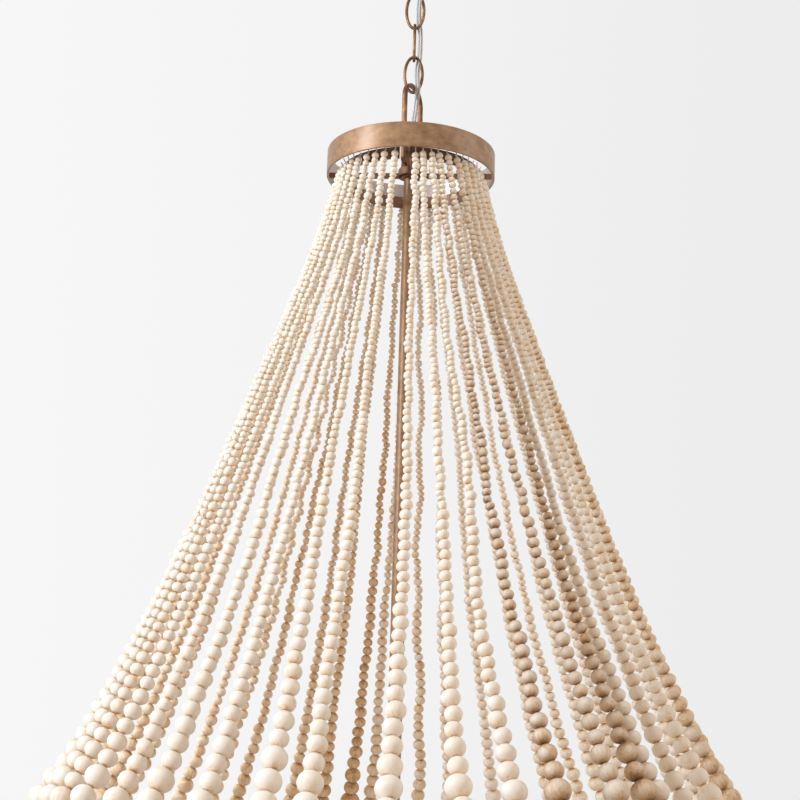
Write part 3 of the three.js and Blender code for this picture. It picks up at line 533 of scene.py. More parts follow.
insulation = clear("clear_insulation", (0.80, 0.86, 0.93), seen_through=0.8, roughness=0.16, edge=0.8)
glass = clear("bulb_glass", (0.93, 0.93, 0.92), seen_through=0.93, roughness=0.03, edge=0.6)


# One bead of unit radius: half its length, the angle where its ball is cut, its hole as (radius, height)
BEAD_END = 0.955
BEAD_CUT = 0.26
BEAD_HOLE = [(0.12, 0.72), (0.19, 0.885)]


def bead_template(segments, rings):
    """(unit points, quads, flat map) of a bead: a ball with flattened ends and a drilled hole along Z."""
    profile = list(BEAD_HOLE)
    for k in range(rings):
        angle = BEAD_CUT + (math.pi - 2 * BEAD_CUT) * k / (rings - 1)
        profile.append((math.sin(angle), math.cos(angle) * BEAD_END))
    profile += [(radius, -height) for radius, height in reversed(BEAD_HOLE)]
    angles = np.arange(segments) * TURN / segments
    points = np.array([(r * math.cos(a), r * math.sin(a), z) for r, z in profile for a in angles])
    quads, _ = grid(len(profile), segments, False)
    # The profile runs downwards, so its quads are turned over to face out
    over = [1, 0, 3, 2]
    return points, np.array(quads)[:, over], flat_grid(len(profile), segments)[:, over]


# Beads wider than this are made of more faces
LARGE_FROM = 9.0
SMALL_BEAD = bead_template(10, 6)
LARGE_BEAD = bead_template(20, 11)

# Diameters of beads down an upper strand, and the share of its run from which each is used, in front and at
# the back, where the beads grow later
UPPER_SIZES = (6.9, 7.0, 7.4, 8.2, 10.0, 12.0, 14.0, 16.0, 20.0)
FRONT_STARTS = (0.0, 0.2, 0.33, 0.42, 0.55, 0.70, 0.775, 0.83, 0.885)
BACK_STARTS = (0.0, 0.2, 0.34, 0.44, 0.6, 0.79, 0.87, 0.91, 0.95)
LOWER_SIZES = (16.0, 14.0, 12.0, 10.0, 8.0, 6.0, 5.0)
LOWER_STARTS = (0.0, 0.17, 0.34, 0.48, 0.62, 0.76, 0.9)
LARGEST_BEAD = 20.4

# How far, in millimetres of run, a strand's changes of size are shifted
UPPER_SIZE_SHIFT = 16
LOWER_SIZE_SHIFT = 10

# Length of a bead as a share of its diameter, and the diameter under which it is a flatter one
BEAD_LENGTH_SHARE = 0.93
SMALL_LENGTH_SHARE = 0.82
SMALL_BELOW = 7.6

# Beads smaller than this are turned less evenly, and sit less evenly on their thread
ROUGH_BELOW = 9.0
ROUGH_TIMES = 3.0

# How much single beads differ in diameter and length, as shares, for even beads and for rough ones
SIZE_SPREADS = (0.028, 0.055)
LENGTH_SPREADS = (0.02, 0.13)

# How much they differ from round, in tilt, in place, and in where and how their wood is cut
OVAL_SPREAD = 0.015
TILT_SPREAD = 0.05
PLACE_SPREAD = 0.3
GRAIN_TILT_SPREAD = 0.5
GRAIN_REACH = 4000


def beads_down(run, starts, sizes, shift_reach):
    """[(run at the bead's middle, diameter, length)] that fill the strand from its top to its end."""
    total = run[-1]
    shift = chance.uniform(-shift_reach, shift_reach) / total
    placed, used = [], 0.0
    while used < total:
        share = used / total
        size = [size for start, size in zip(starts, sizes) if share >= start + (shift if start else 0)][-1]
        size *= 1 + chance.gauss(0, SIZE_SPREADS[size <= ROUGH_BELOW])
        size = min(size, LARGEST_BEAD)
        length_share = SMALL_LENGTH_SHARE if size < SMALL_BELOW else BEAD_LENGTH_SHARE
        length = size * length_share * (1 + chance.gauss(0, LENGTH_SPREADS[size <= ROUGH_BELOW]))
        placed.append((used + length / 2, size, length))
        used += length
    excess = used / total
    return [(middle / excess, size, length / excess) for middle, size, length in placed]


# Paths of the strands

CURVE_STEPS = 600
WAVES_UPPER = [(1.6, 1), (0.8, 2.3), (0.7, 7), (0.6, 19)]
WAVES_LOWER = [(1.0, 1), (0.5, 2.3)]

# Waves of this many turns or more keep their size to within this share of a strand's ends
SHORT_FROM = 5
SHORT_FADE_SHARE = 0.05

# Waves turn a strand no further than they would at this radius
WAVE_RADIUS = 60


def random_waves(waves):
    """[(size, turns, phase)] from (spread of the size, turns)."""
    return [(chance.gauss(0, size), turns, chance.random()) for size, turns in waves]


def upper_curve():
    top, way_out = STRAND_TOP_RADIUS, LOWER_BAND_RADIUS - BAND_WALL / 2 - STRAND_TOP_RADIUS
    points = [(top + way_out * out, STRAND_TOP - STRAND_FALL * down) for out, down in FAN_SHARES]
    return catmull_path(points, CURVE_STEPS)


def lower_curve():
    """From the lower band down and in to the bottom plate."""
    floor = BASKET_TOP - BASKET_HEIGHT
    corners = [
        (BASKET_TOP_RADIUS, BASKET_TOP),
        (BASKET_TOP_RADIUS * 0.98, BASKET_TOP - BASKET_HEIGHT * 0.62),
        (BASKET_TOP_RADIUS * 0.6, floor),
        (BASKET_END_RADIUS, floor + 2.5),
    ]
    return bezier_path(corners, CURVE_STEPS)


UPPER_CURVE = upper_curve()
LOWER_CURVE = lower_curve()


def strand_path(curve, azimuth_top, azimuth_bottom, waves):
    """Points down one strand, its azimuth going from one value to the other with small waves."""
    run = run_along(curve)
    share = run / run[-1]
    fade = np.sin(math.pi * share)
    short_fade = np.clip(np.minimum(share, 1 - share) / SHORT_FADE_SHARE, 0, 1)
    sway = np.zeros(len(share))
    for size, turns, phase in waves:
        wave_fade = fade if turns < SHORT_FROM else short_fade
        sway += size * np.sin(TURN * (turns * share + phase)) * wave_fade
    radius = curve[:, 0]
    azimuth = azimuth_top + (azimuth_bottom - azimuth_top) * share + sway / np.maximum(radius, WAVE_RADIUS)
    return np.stack([radius * np.sin(azimuth), -radius * np.cos(azimuth), curve[:, 1]], 1), run


def tangent_frames(path, run, at, reach=2):
    """Points on the path at these runs, with the directions there."""
    def points_at(runs):
        return np.stack([np.interp(runs, run, path[:, i]) for i in range(3)], 1)

    along = points_at(np.minimum(at + reach, run[-1])) - points_at(np.maximum(at - reach, 0))
    return points_at(at), along / np.linalg.norm(along, axis=1)[:, None]


# Tones of the wood, 0 brown to 1 pale, with painted light and shade in them

# The strands that the photograph shows plainly darker or paler than the rest: partly their own wood's tone,
# and partly painted shade where other strands shade them and painted light on the pale front strands
STRAND_TONES_PAINTED_LIGHT_AND_SHADE = {
    0: 0.92, 1: 0.88, 2: 0.86, 3: 0.6, 4: 0.62, 5: 0.5, 9: 0.45, 10: 0.35,
    23: 0.55, 24: 0.62, 25: 0.18, 26: 0.42, 27: 0.45, 28: 0.48, 29: 0.5, 30: 0.52,
    31: 0.5, 32: 0.45, 33: 0.42, 34: 0.4, 35: 0.42, 36: 0.5,
}

# At its top each strand has this tone, and its own tone, painted light and shade included, from this share
# of its run down. Single beads differ from it by up to the last value.
TOP_TONE = 0.84
OWN_TONE_FROM = 0.4
BEAD_TONE_REACH = 0.14

# Painted shade in the seams where beads meet: a bead's tone is lower towards its ends, by up to this
PAINTED_SEAM_SHADE = 0.62

# Painted shade, 0 to 1, on the strands that the photograph shows greyer where other strands shade them, and
# a bead's share of it at its middle and the rise of that share to its ends
STRAND_PAINTED_SHADES = {2: 0.1, 3: 0.72, 4: 0.5, 5: 0.78, 6: 0.2, 7: 0.15, 9: 0.45}
SHADE_MIDDLE = 0.5
SHADE_RISE = 1.1


# Beads and threads of a group of strands, gathered into one mesh

WOOD_SLOT = 0
THREAD_SLOT = 1
THREAD_RADIUS = 0.55
THREAD_SIDES = 6

# Each form's flat map fills this share of its own square cell, inside this margin
CELL_FILL = 0.94
CELL_MARGIN = 0.03


def bead_form(place, direction, size, length, tone_with_painted_light, own_shade):
    """One bead, turned, tilted and toned at random, with painted shade towards its ends."""
    unit, quads, flat = LARGE_BEAD if size > LARGE_FROM else SMALL_BEAD
    turn = Matrix.Rotation(chance.uniform(0, TURN), 3, "Z")
    rough = ROUGH_TIMES if size < ROUGH_BELOW else 1.0
    tilt = Vector((chance.gauss(0, TILT_SPREAD * rough), chance.gauss(0, TILT_SPREAD * rough), 0))
    aim = (Vector(direction) + tilt).to_track_quat("Z", "Y").to_matrix()
    rotation = np.array(aim @ turn)
    oval = 1 + chance.gauss(0, OVAL_SPREAD * rough)
    body = unit * np.array((size / 2, size / 2 * oval, length / 2 / BEAD_END))
    if size < ROUGH_BELOW:
        place = place + np.array((chance.gauss(0, PLACE_SPREAD), chance.gauss(0, PLACE_SPREAD), 0))
    grain_tilt = Matrix.Rotation(chance.gauss(0, GRAIN_TILT_SPREAD), 3, "X")
    grain_turn = np.array(grain_tilt @ Matrix.Rotation(chance.uniform(0, TURN), 3, "Z"))
    grain_start = np.array([chance.uniform(0, GRAIN_REACH) for _ in range(3)])
    to_end = np.abs(unit[:, 2]) / BEAD_END
    tone_with_painted_light += chance.uniform(-BEAD_TONE_REACH, BEAD_TONE_REACH)
    return {
        "points": body @ rotation.T + place,
        "quads": quads,
        "flat": flat,
        "slots": np.full(len(quads), WOOD_SLOT),
        "grain": (body @ grain_turn.T)[:, [2, 0, 1]] + grain_start,
        # Painted shade in the seams where beads meet: lower tone and more shade grey towards the bead's ends
        "tone": np.clip(tone_with_painted_light - PAINTED_SEAM_SHADE * to_end**3, 0, 1),
        "shade": np.clip(own_shade * (SHADE_MIDDLE + SHADE_RISE * to_end**2), 0, 1),
    }


def bead_forms(strand):
    """The beads of one strand, whose own tone and painted shade set in on its way down."""
    run = strand["run"]
    middles = np.array([middle for middle, _, _ in strand["beads"]])
    here, along = tangent_frames(strand["path"], run, middles)
    forms = []
    for (middle, size, length), place, direction in zip(strand["beads"], here, along):
        share = min(middle / run[-1] / OWN_TONE_FROM, 1)
        tone_with_painted_light = TOP_TONE + (strand["tone"] - TOP_TONE) * share
        forms.append(bead_form(place, direction, size, length, tone_with_painted_light, strand["shade"] * share))
    return forms


def thread_form(path):
    points, quads, grain, _ = swept(path, round_section(THREAD_RADIUS, THREAD_SIDES))
    return {
        "points": points,
        "quads": np.array(quads),
        "flat": flat_grid(len(path), THREAD_SIDES),
        "slots": np.full(len(quads), THREAD_SLOT),
        "grain": grain,
        "tone": np.full(len(points), 0.5),
        "shade": np.zeros(len(points)),
    }


def group_mesh(name, strands, replaced):
    """One object for the beads of several strands, with their threads in a second material."""
    forms = [form for strand in strands for form in bead_forms(strand)]
    side = math.ceil(math.sqrt(len(forms) + 4 * len(strands) + STRANDS_PER_GROUP))
    forms += [thread_form(path) for strand in strands for path in strand["threads"]]
    point_count = 0
    for cell, form in enumerate(forms):
        corner = np.array([cell % side, cell // side])
        form["flat"] = (form["flat"] * CELL_FILL + CELL_MARGIN + corner) / side
        form["quads"] = form["quads"] + point_count
        point_count += len(form["points"])
    joined = {key: np.concatenate([form[key] for form in forms]) for key in forms[0]}
    piece = new_object(
        name, joined["points"], joined["quads"], [wood, cotton], joined["slots"],
        joined["grain"], tone=joined["tone"], shade=joined["shade"])
    layer = piece.data.uv_layers.new(name="OFBake")
    layer.data.foreach_set("uv", joined["flat"].reshape(-1, 2).ravel())
    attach(piece, "fixture")
    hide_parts(*replaced)


def make_strands(kind, make_one, empty_place=None):
    """All strands of one kind, eight to an object."""
    for group in range(STRAND_COUNT // STRANDS_PER_GROUP):
        first = group * STRANDS_PER_GROUP
        places = [place for place in range(first, first + STRANDS_PER_GROUP) if place != empty_place]
        name = f"{kind}_strands_{group + 1}"
        group_mesh(name + "_beads", [make_one(place) for place in places], [name])


# Upper strands

# How far each strand's lower end is from its even place, in places, where the photograph shows it
LOWER_END_SHIFTS = {
    0: -0.16, 1: 0.24, 2: 0.25, 3: 0.2, 4: 0.62, 5: 0.35, 6: -0.35, 7: -0.5, 8: -0.2, 9: 0.5,
    19: -0.4, 20: -0.5, 21: 0.2, 22: 0.5, 23: 0.3, 24: 0.6, 25: 0.15, 26: -0.15, 27: -0.27, 28: 0.28,
    35: 0.15, 36: 0.3, 37: 0.35, 38: 0.38, 39: 0.35, 40: 0.15, 41: 0.1, 42: 0.3, 43: 0.22, 44: 0.42,
    45: 0.66, 46: 0.45,
}
# The same for their upper ends, in front
UPPER_END_SHIFTS = {0: 0.42, 1: 0.2, 2: 0.1, 46: 0.3, 45: 0.2}

# How much the ends of the other strands differ from their even places
LOWER_END_SPREAD = 0.18
UPPER_END_SPREAD = 0.1

# A spoke is over every twelfth place, and the strands clear of the spokes start a little higher
SPOKE_EVERY = 12
TOP_RISE = 2.4

# Tone of the strands not listed above: at the sides, and how much paler painted light makes them in front
# and darker painted shade makes them at the back
SIDE_TONE = 0.79
PAINTED_FRONT_LIGHT_BACK_SHADE = 0.12
TONE_SPREAD = 0.07

# Threads follow every so many points of a strand's path, and this share of them has a long tail at the hoop
THREAD_EVERY = 20
LONG_TAIL_SHARE = 0.3
TAIL_STEPS = 6
KNOT_TURNS = 7
KNOT_RADIUS = 0.7
UP = np.array((0, 0, 1.0))


def round_axis(azimuth, radius, height):
    """The point at this azimuth, which is 0 in front and grows to the right."""
    return np.array((radius * math.sin(azimuth), -radius * math.cos(azimuth), height))


def random_point(x_reach, y_reach, z_low, z_high):
    return np.array((
        chance.uniform(-x_reach, x_reach),
        chance.uniform(-y_reach, y_reach),
        chance.uniform(z_low, z_high),
    ))


def knot(centre):
    """A short fat zigzag of thread that reads as a knot."""
    return np.array([centre + random_point(1, 1, -1, 1) * KNOT_RADIUS for _ in range(KNOT_TURNS)])


def long_tail(azimuth, way_out):
    """A loose end of thread that falls beside its strand."""
    start = round_axis(azimuth, HOOP_RADIUS + 1.5, HOOP_TOP - 3)
    way_aside = np.array((math.cos(azimuth), math.sin(azimuth), 0))
    fall = chance.uniform(8, 24)
    sway = chance.uniform(3.2, 4.8)
    tail = []
    for k in range(TAIL_STEPS + 1):
        share = k / TAIL_STEPS
        tail.append(start + way_aside * sway * min(1, 2 * share) + (way_out * 2.4 - UP * fall) * share)
    return np.array(tail)


def hoop_threads(first, azimuth):
    """A strand's thread through the hoop, the thread's cut end, at times a long tail, and the knot."""
    way_out = round_axis(azimuth, 1, 0)
    hole = round_axis(azimuth, HOOP_RADIUS + 0.3, HOOP_TOP - 2.2)
    inside = round_axis(azimuth, HOOP_RADIUS - 2.2, HOOP_TOP - 2.0)
    through = [first - 2 * UP, first, (first + hole) / 2 + way_out * 0.5, hole, inside]
    cut_end = [hole, hole + way_out * 1.2 + UP * 1.5, hole + way_out * 2.0 + random_point(1, 1, 2, 5)]
    threads = [np.array(through), np.array(cut_end)]
    if chance.random() < LONG_TAIL_SHARE:
        threads.append(long_tail(azimuth, way_out))
    threads.append(knot(hole + way_out * 0.6))
    return threads


def starts_facing(facing):
    """Where each size starts on a strand that faces the front (1), the back (-1) or between."""
    behind = (1 - facing) / 2
    return [front + (back - front) * behind for front, back in zip(FRONT_STARTS, BACK_STARTS)]


def upper_strand(place):
    """The strand at one place round the hoop."""
    top = (place + UPPER_END_SHIFTS.get(place, chance.gauss(0, UPPER_END_SPREAD))) * STRAND_STEP
    bottom = (place + LOWER_END_SHIFTS.get(place, chance.gauss(0, LOWER_END_SPREAD))) * STRAND_STEP
    near_spoke = place % SPOKE_EVERY in (0, SPOKE_EVERY - 1)
    curve = UPPER_CURVE if near_spoke else np.concatenate([UPPER_CURVE[:1] + (0, TOP_RISE), UPPER_CURVE])
    path, run = strand_path(curve, top, bottom, random_waves(WAVES_UPPER))
    facing = math.cos(bottom)
    beads = beads_down(run, starts_facing(facing), UPPER_SIZES, UPPER_SIZE_SHIFT)
    # Painted light on the strands in front and painted shade on those at the back, with a random tone of the
    # strand's own
    tone_with_painted_light = SIDE_TONE + PAINTED_FRONT_LIGHT_BACK_SHADE * facing + chance.gauss(0, TONE_SPREAD)
    return {
        "path": path,
        "run": run,
        "beads": beads,
        # The listed tones hold painted light and shade, and the shade key holds painted shade from
        # neighbouring strands
        "tone": STRAND_TONES_PAINTED_LIGHT_AND_SHADE.get(place, tone_with_painted_light),
        "shade": STRAND_PAINTED_SHADES.get(place, 0),
        "threads": [path[::THREAD_EVERY]] + hoop_threads(path[0], top),
    }


# Lower strands

BASKET_TOP_SPREAD = 0.04
BASKET_END_SPREAD = 0.05
BASKET_TONE = 0.55
BASKET_TONE_SPREAD = 0.1


def lower_strand(place):
    """The strand at one place round the basket."""
    top = (place + chance.gauss(0, BASKET_TOP_SPREAD)) * STRAND_STEP
    bottom = (place + chance.gauss(0, BASKET_END_SPREAD)) * STRAND_STEP
    path, run = strand_path(LOWER_CURVE, top, bottom, random_waves(WAVES_LOWER))
    return {
        "path": path,
        "run": run,
        "beads": beads_down(run, LOWER_STARTS, LOWER_SIZES, LOWER_SIZE_SHIFT),
        "tone": chance.gauss(BASKET_TONE, BASKET_TONE_SPREAD),
        "shade": 0,
        "threads": [path[::THREAD_EVERY]],
    }


# Bands and stem

def stand_for(piece, body, slot, *nodes):
    """Puts a piece on its body in place of its nodes."""
    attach(piece, body)
    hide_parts(*nodes)


def turned_for(
    node, kind, profile, material, segments, bevel, body="fixture", slot="antique_gold", centre=(0, 0)
):
    """A turned piece of one material in place of a node."""
    stand_for(turned(f"{node}_{kind}", profile, [material], segments, bevel, centre), body, slot, node)


def inner_face(point):
    """Slot 1 on the inside of the crown band, slot 0 elsewhere."""
    return 1 if point[0] < CROWN_RADIUS - BAND_WALL + BAND_BEVEL else 0


def make_crown_band():
    radius, bottom, top = extent("crown_band")
    profile = ring_profile(radius - BAND_WALL, radius, bottom, top)
    band = turned("crown_band_metal", profile, [gold, pale_inside], 192, BAND_BEVEL, slots=inner_face)
    stand_for(band, "fixture", "antique_gold", "crown_band")


def make_lower_band():
    radius, bottom, top = extent("lower_band")
    profile = ring_profile(radius - BAND_WALL, radius, bottom, top)
    turned_for("lower_band", "metal", profile, gold, 288, BAND_BEVEL)


def make_center_stem():
    radius, bottom, top = extent("center_stem")
    turned_for("center_stem", "tube", ring_profile(STEM_BORE, radius, bottom, top), gold, 48, 0.2)


# Chain, top loop and hub cup

def link_path(length, width, wire, steps=72):
    """The middle of the wire of an oval link, whose highest point is at z = 0."""
    angles = np.arange(steps) * TURN / steps
    side = (width / 2 - wire) * np.cos(angles)
    height = (length / 2 - wire) * np.sin(angles) - length / 2
    return np.stack([side, np.zeros(steps), height], 1)


def make_chain():
    """Links that stand across each other in turn, the first one from front to back."""
    for number, top in enumerate(LINK_TOPS, 1):
        path = link_path(LINK_LENGTH, LINK_WIDTH, LINK_WIRE)
        up = (0, 1, 0)
        if number % 2:
            path = path[:, [1, 0, 2]]
            up = (1, 0, 0)
        section = round_section(LINK_WIRE, 16)
        link = tube(f"chain_link_{number}_wire", path + UP * top, section, [gold_cast], closed=True, up=up)
        stand_for(link, f"link_{number}", "antique_gold", f"chain_link_{number}")


# The top loop: its bar, its corners and half width to the bar's middle, its turn and its pad
LOOP_BAR_THICKNESS = 3.5
LOOP_BAR_WIDTH = 4.5
LOOP_BAR_EDGE = 0.8
LOOP_CROWN = 15.75
LOOP_FOOT = 3.25
LOOP_HALF_WIDTH = 18
LOOP_TURN = math.radians(65)
LOOP_PAD_RADIUS = 9.5
CORNER_STEPS = 12
LOOP_STEP = 3


def loop_path(bottom, top):
    """The middle of the top loop's bar: four arcs, joined by straight stretches in short steps."""
    crown_side, crown_height = LOOP_HALF_WIDTH - LOOP_CROWN, top - LOOP_CROWN
    foot_side, foot_height = LOOP_HALF_WIDTH - LOOP_FOOT, bottom + LOOP_FOOT
    corners = [
        (crown_side, crown_height, LOOP_CROWN, 0),
        (-crown_side, crown_height, LOOP_CROWN, 90),
        (-foot_side, foot_height, LOOP_FOOT, 180),
        (foot_side, foot_height, LOOP_FOOT, 270),
    ]
    path = []
    for x, z, radius, start in corners:
        for k in range(CORNER_STEPS + 1):
            angle = math.radians(start + 90 * k / CORNER_STEPS)
            path.append(np.array((x + radius * math.cos(angle), 0, z + radius * math.sin(angle))))
    dense = []
    for i, here in enumerate(path):
        after = path[(i + 1) % len(path)]
        pieces = max(1, round(math.dist(here, after) / LOOP_STEP))
        for k in range(pieces):
            dense.append(here + (after - here) * k / pieces)
    return np.array(dense)


def make_top_loop():
    _, bottom, top = extent("top_loop")
    half = LOOP_BAR_THICKNESS / 2
    spin = np.array(Matrix.Rotation(LOOP_TURN, 3, "Z"))
    path = loop_path(bottom + half, top - half) @ spin.T
    section = bar_section(LOOP_BAR_THICKNESS, LOOP_BAR_WIDTH, LOOP_BAR_EDGE)
    loop = tube("top_loop_bar", path, section, [gold_cast], closed=True, up=spin @ (0, 1, 0))
    profile = ring_profile(NIPPLE_HOLE, LOOP_PAD_RADIUS, bottom, bottom + LOOP_BAR_THICKNESS)
    pad = turned("top_loop_pad", profile, [gold_cast], 48, 0.4)
    stand_for(loop, "fixture", "antique_gold", "top_loop")
    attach(pad, "fixture")


def make_hub_cup():
    """A shallow cup, open below, with a wall 1 mm thick."""
    _, bottom, top = extent("hub_cup")
    outside = [(NIPPLE_HOLE, top), (9.0, top), (11.0, top - 0.7), (12, top - 2.9), (12, bottom)]
    inside = [(11, bottom), (11, top - 3.4), (10.2, top - 1.5), (8.5, top - 1), (NIPPLE_HOLE, top - 1)]
    turned_for("hub_cup", "metal", outside + inside + outside[:1], bronze, 64, 0.3, slot="dark_bronze")


# Nodes that keep their own shape get a bevel and a material

def dress(name, material, bevel=0.4):
    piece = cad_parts[name]
    piece.data.materials.clear()
    piece.data.materials.append(material)
    for face in piece.data.polygons:
        face.material_index = 0
    rounding = piece.modifiers.new("edges", "BEVEL")
    rounding.width = bevel * MM
    rounding.segments = 3
    rounding.limit_method = "ANGLE"
    rounding.angle_limit = math.radians(40)


def dress_nodes():
    for name in ("crown_spokes", "strand_hoop", "lower_spokes"):
        dress(name, bronze, 0.35)
    for name in ("mounting_strap", "canopy_lock_nut"):
        dress(name, zinc)
    dress("loop_nut", gold_cast)


# Threaded nipples

THREAD_PITCH = 0.95
THREAD_CREST = 5.1
THREAD_VALLEY = 4.7
NIPPLE_END_RADIUS = 4.6
NIPPLE_END = 0.4


def threaded(name, body):
    """A hollow nipple with ridges round it that stand for its screw thread."""
    _, bottom, top = extent(name)
    profile = [(NIPPLE_BORE, bottom), (NIPPLE_END_RADIUS, bottom)]
    height = bottom + NIPPLE_END
    while height + THREAD_PITCH < top - NIPPLE_END:
        for radius, share in ((THREAD_CREST, 0.25), (THREAD_CREST, 0.45), (THREAD_VALLEY, 0.75)):
            profile.append((radius, height + share * THREAD_PITCH))
        height += THREAD_PITCH
    profile += [(NIPPLE_END_RADIUS, top), (NIPPLE_BORE, top), (NIPPLE_BORE, bottom)]
    turned_for(name, "thread", profile, zinc, 40, 0, body, "zinc")


# Canopy, its collar, screws and eye

def make_canopy():
    """A shallow bowl with its rim up, its outside and its inside about 1.2 mm apart."""
    rim, bottom, top = extent("canopy_shell")
    outside = [
        (rim, top), (rim, -3), (59.5, -6.2), (54.5, -9.6), (48.5, -12.9), (41.5, -16.1), (33.5, -19.1),
        (25.5, -22.3), (19.5, -24.8), (15, bottom), (NIPPLE_HOLE, bottom),
    ]
    inside = [
        (NIPPLE_HOLE, -24.8), (14.4, -24.8), (19.0, -23.7), (25.0, -21.2), (33.1, -18.0), (41.1, -15.0),
        (47.9, -11.9), (53.8, -8.6), (58.7, -5.3), (61.8, -2.6), (61.8, top),
    ]
    shell = turned("canopy_metal", outside + inside + outside[:1], [gold], 160, 0.5)
    stand_for(shell, "canopy", "antique_gold", "canopy_shell")


def make_canopy_collar():
    radius, bottom, top = extent("canopy_collar")
    outside = [(11, bottom), (radius, bottom + 1.8), (radius, top - 1.8), (11, top)]
    profile = [(NIPPLE_HOLE, bottom)] + outside + [(NIPPLE_HOLE, top), (NIPPLE_HOLE, bottom)]
    turned_for("canopy_collar", "metal", profile, gold, 64, 0.4, "canopy")


def make_mounting_screws():
    """Screws with a round head under the strap and a plain shank above it."""
    reach, head, shank, head_top = 40, 4, 2.1, -2.8
    for side, x in (("left", -reach), ("right", reach)):
        _, bottom, top = extent(f"mounting_screw_{side}")
        profile = [
            (0, bottom), (2.8, bottom), (3.7, bottom + 0.7), (head, bottom + 1.4), (head, head_top),
            (shank, head_top), (shank, top), (0, top),
        ]
        turned_for(f"mounting_screw_{side}", "metal", profile, zinc, 32, 0.25, "canopy", "zinc", (x, 0))


def make_canopy_loop():
    """A cap screwed on the canopy's nipple, with the eye of round wire under it."""
    top = extent("canopy_loop")[2]
    bottom, step, radius = top - 10, top - 5.3, 8.5
    outside = [(7.6, bottom), (radius, bottom + 1), (radius, top - 0.8), (8.0, top)]
    inside = [(NIPPLE_HOLE, top), (NIPPLE_HOLE, step), (NIPPLE_BORE, step), (NIPPLE_BORE, bottom)]
    profile = [(NIPPLE_BORE, bottom)] + outside + inside
    base = turned("canopy_loop_base", profile, [gold_cast], 48, 0.3)
    path = link_path(EYE_LENGTH, EYE_WIDTH, EYE_WIRE) + UP * EYE_TOP
    eye = tube("canopy_loop_eye", path, round_section(EYE_WIRE, 16), [gold_cast], closed=True, up=(0, 1, 0))
    stand_for(base, "canopy", "antique_gold", "canopy_loop")
    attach(eye, "canopy")


# Lamp cord: two conductors in clear insulation, cut between the hinges

CORD_ROUTE = [
    (0, 0, -6), (0, 0, -20), (0, 0, -34), (0.4, -0.2, -43), (2.4, -2.6, -51), (4.7, -5, -59),
    (5.5, -5.5, -67), (5.6, -5.2, -76), (5.6, -5.2, -86), (5.2, -5.3, -95), (3.9, -3.7, -103),
    (3.4, 0, -112.5), (3.9, 3.7, -122), (5.2, 5.3, -131), (5.6, 5.2, -140), (5.6, 5.2, -152),
    (5.2, 5.3, -162), (3.9, 3.7, -170), (3.4, 0, -180), (3.9, -3.8, -189), (4.5, -5.6, -198),
    (3.9, -5.2, -207), (2.4, -3.2, -221), (0.8, -1.2, -236), (0, 0, -250), (0, 0, -262), (0, 0, -272),
]
CORD_CUTS = [top - LINK_LENGTH / 2 for top in LINK_TOPS]
HINGES = [EYE_HINGE] + [top - LINK_LENGTH + LINK_WIRE for top in LINK_TOPS]
CORD_SIDE = np.array((1.0, 0.0, 0.0))
CORD_STEPS = 45
ROUTE_STEPS = 500
CORD_HALF_THICKNESS = 1.3
CONDUCTOR_OFF = 1.3
CONDUCTOR_RADIUS = 0.75


def make_cord():
    route = catmull_path(CORD_ROUTE, ROUTE_STEPS)
    down = -route[:, 2]
    ends = [down[0]] + [-cut for cut in CORD_CUTS] + [down[-1]]
    conductor = round_section(CONDUCTOR_RADIUS, 12)
    kinds = [
        ("clear", round_section(CORD_HALF_THICKNESS, 20, CONDUCTOR_OFF), 0, insulation),
        ("copper", conductor, CONDUCTOR_OFF, copper),
        ("silver", conductor, -CONDUCTOR_OFF, silver),
    ]
    for part, hinge in enumerate(HINGES):
        at = np.linspace(ends[part], ends[part + 1], CORD_STEPS)
        middle = np.stack([np.interp(at, down, route[:, i]) for i in range(3)], 1)
        for label, section, off, material in kinds:
            path = middle + CORD_SIDE * off
            name = f"lamp_cord_{label}_{part + 1}"
            piece = tube(name, path, section, [material], up=(0, 1, 0), capped=False)
            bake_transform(piece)
            if label == "clear" and part == 0:
                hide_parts("lamp_cord")


# Lamp hub, bottom plate and finial

# Half of the hub's outline, as (radius, height above or below its middle)
HUB_OUTLINE = [(13.6, 15), (17.5, 12.6), (19.8, 9.6), (21.4, 5.2)]
HUB_BORE = 6.65


def make_lamp_hub():
    radius, bottom, top = extent("lamp_hub")
    middle = (bottom + top) / 2
    below = [(out, middle - off) for out, off in HUB_OUTLINE]
    above = [(out, middle + off) for out, off in reversed(HUB_OUTLINE)]
    bore = [(HUB_BORE, top), (HUB_BORE, bottom)]
    profile = bore[1:] + below + [(radius, middle)] + above + bore
    turned_for("lamp_hub", "metal", profile, gold, 64, 0.4)


def make_bottom_plate():
    """A flat dish with a thin upright rim."""
    radius, bottom, top = extent("bottom_plate")
    thickness, rim_wall = 3, 1.2
    floor, inner = bottom + thickness, radius - rim_wall
    profile = [
        (NIPPLE_HOLE, bottom), (radius - thickness, bottom), (radius, floor), (radius, top),
        (inner, top), (inner, floor), (NIPPLE_HOLE, floor), (NIPPLE_HOLE, bottom),
    ]
    turned_for("bottom_plate", "metal", profile, gold, 128, 0.4)


FINIAL_BALL = 12
FINIAL_STEPS = 16


def make_finial():
    """A ball under a neck and a flange, on the bottom nipple."""
    _, bottom, top = extent("finial")
    centre = bottom + 17
    profile = [(0, bottom), (2.75, bottom)]
    for k in range(1, FINIAL_STEPS):
        angle = -math.pi / 2 + math.pi * k / FINIAL_STEPS
        profile.append((FINIAL_BALL * math.cos(angle), centre + FINIAL_BALL * math.sin(angle)))
    profile += [(5.5, top - 10.1), (5.5, top - 6.7), (7.0, top - 4.7), (9, top - 3.4), (9, top)]
    profile += [(NIPPLE_HOLE, top), (NIPPLE_HOLE, top - 4.5), (0, top - 4.5)]
    turned_for("finial", "metal", profile, gold, 64, 0.3)


# Lamps: arm, candle cup, candle cover, socket and bulb

LAMP_COUNT = 4
LAMP_RADIUS = 92
FIRST_LAMP_DEGREES = 48.5
ARM_RADIUS = 4.5
ARM_DIP = 52
ARM_STEPS = 39
JOINT_GAP = 0.3


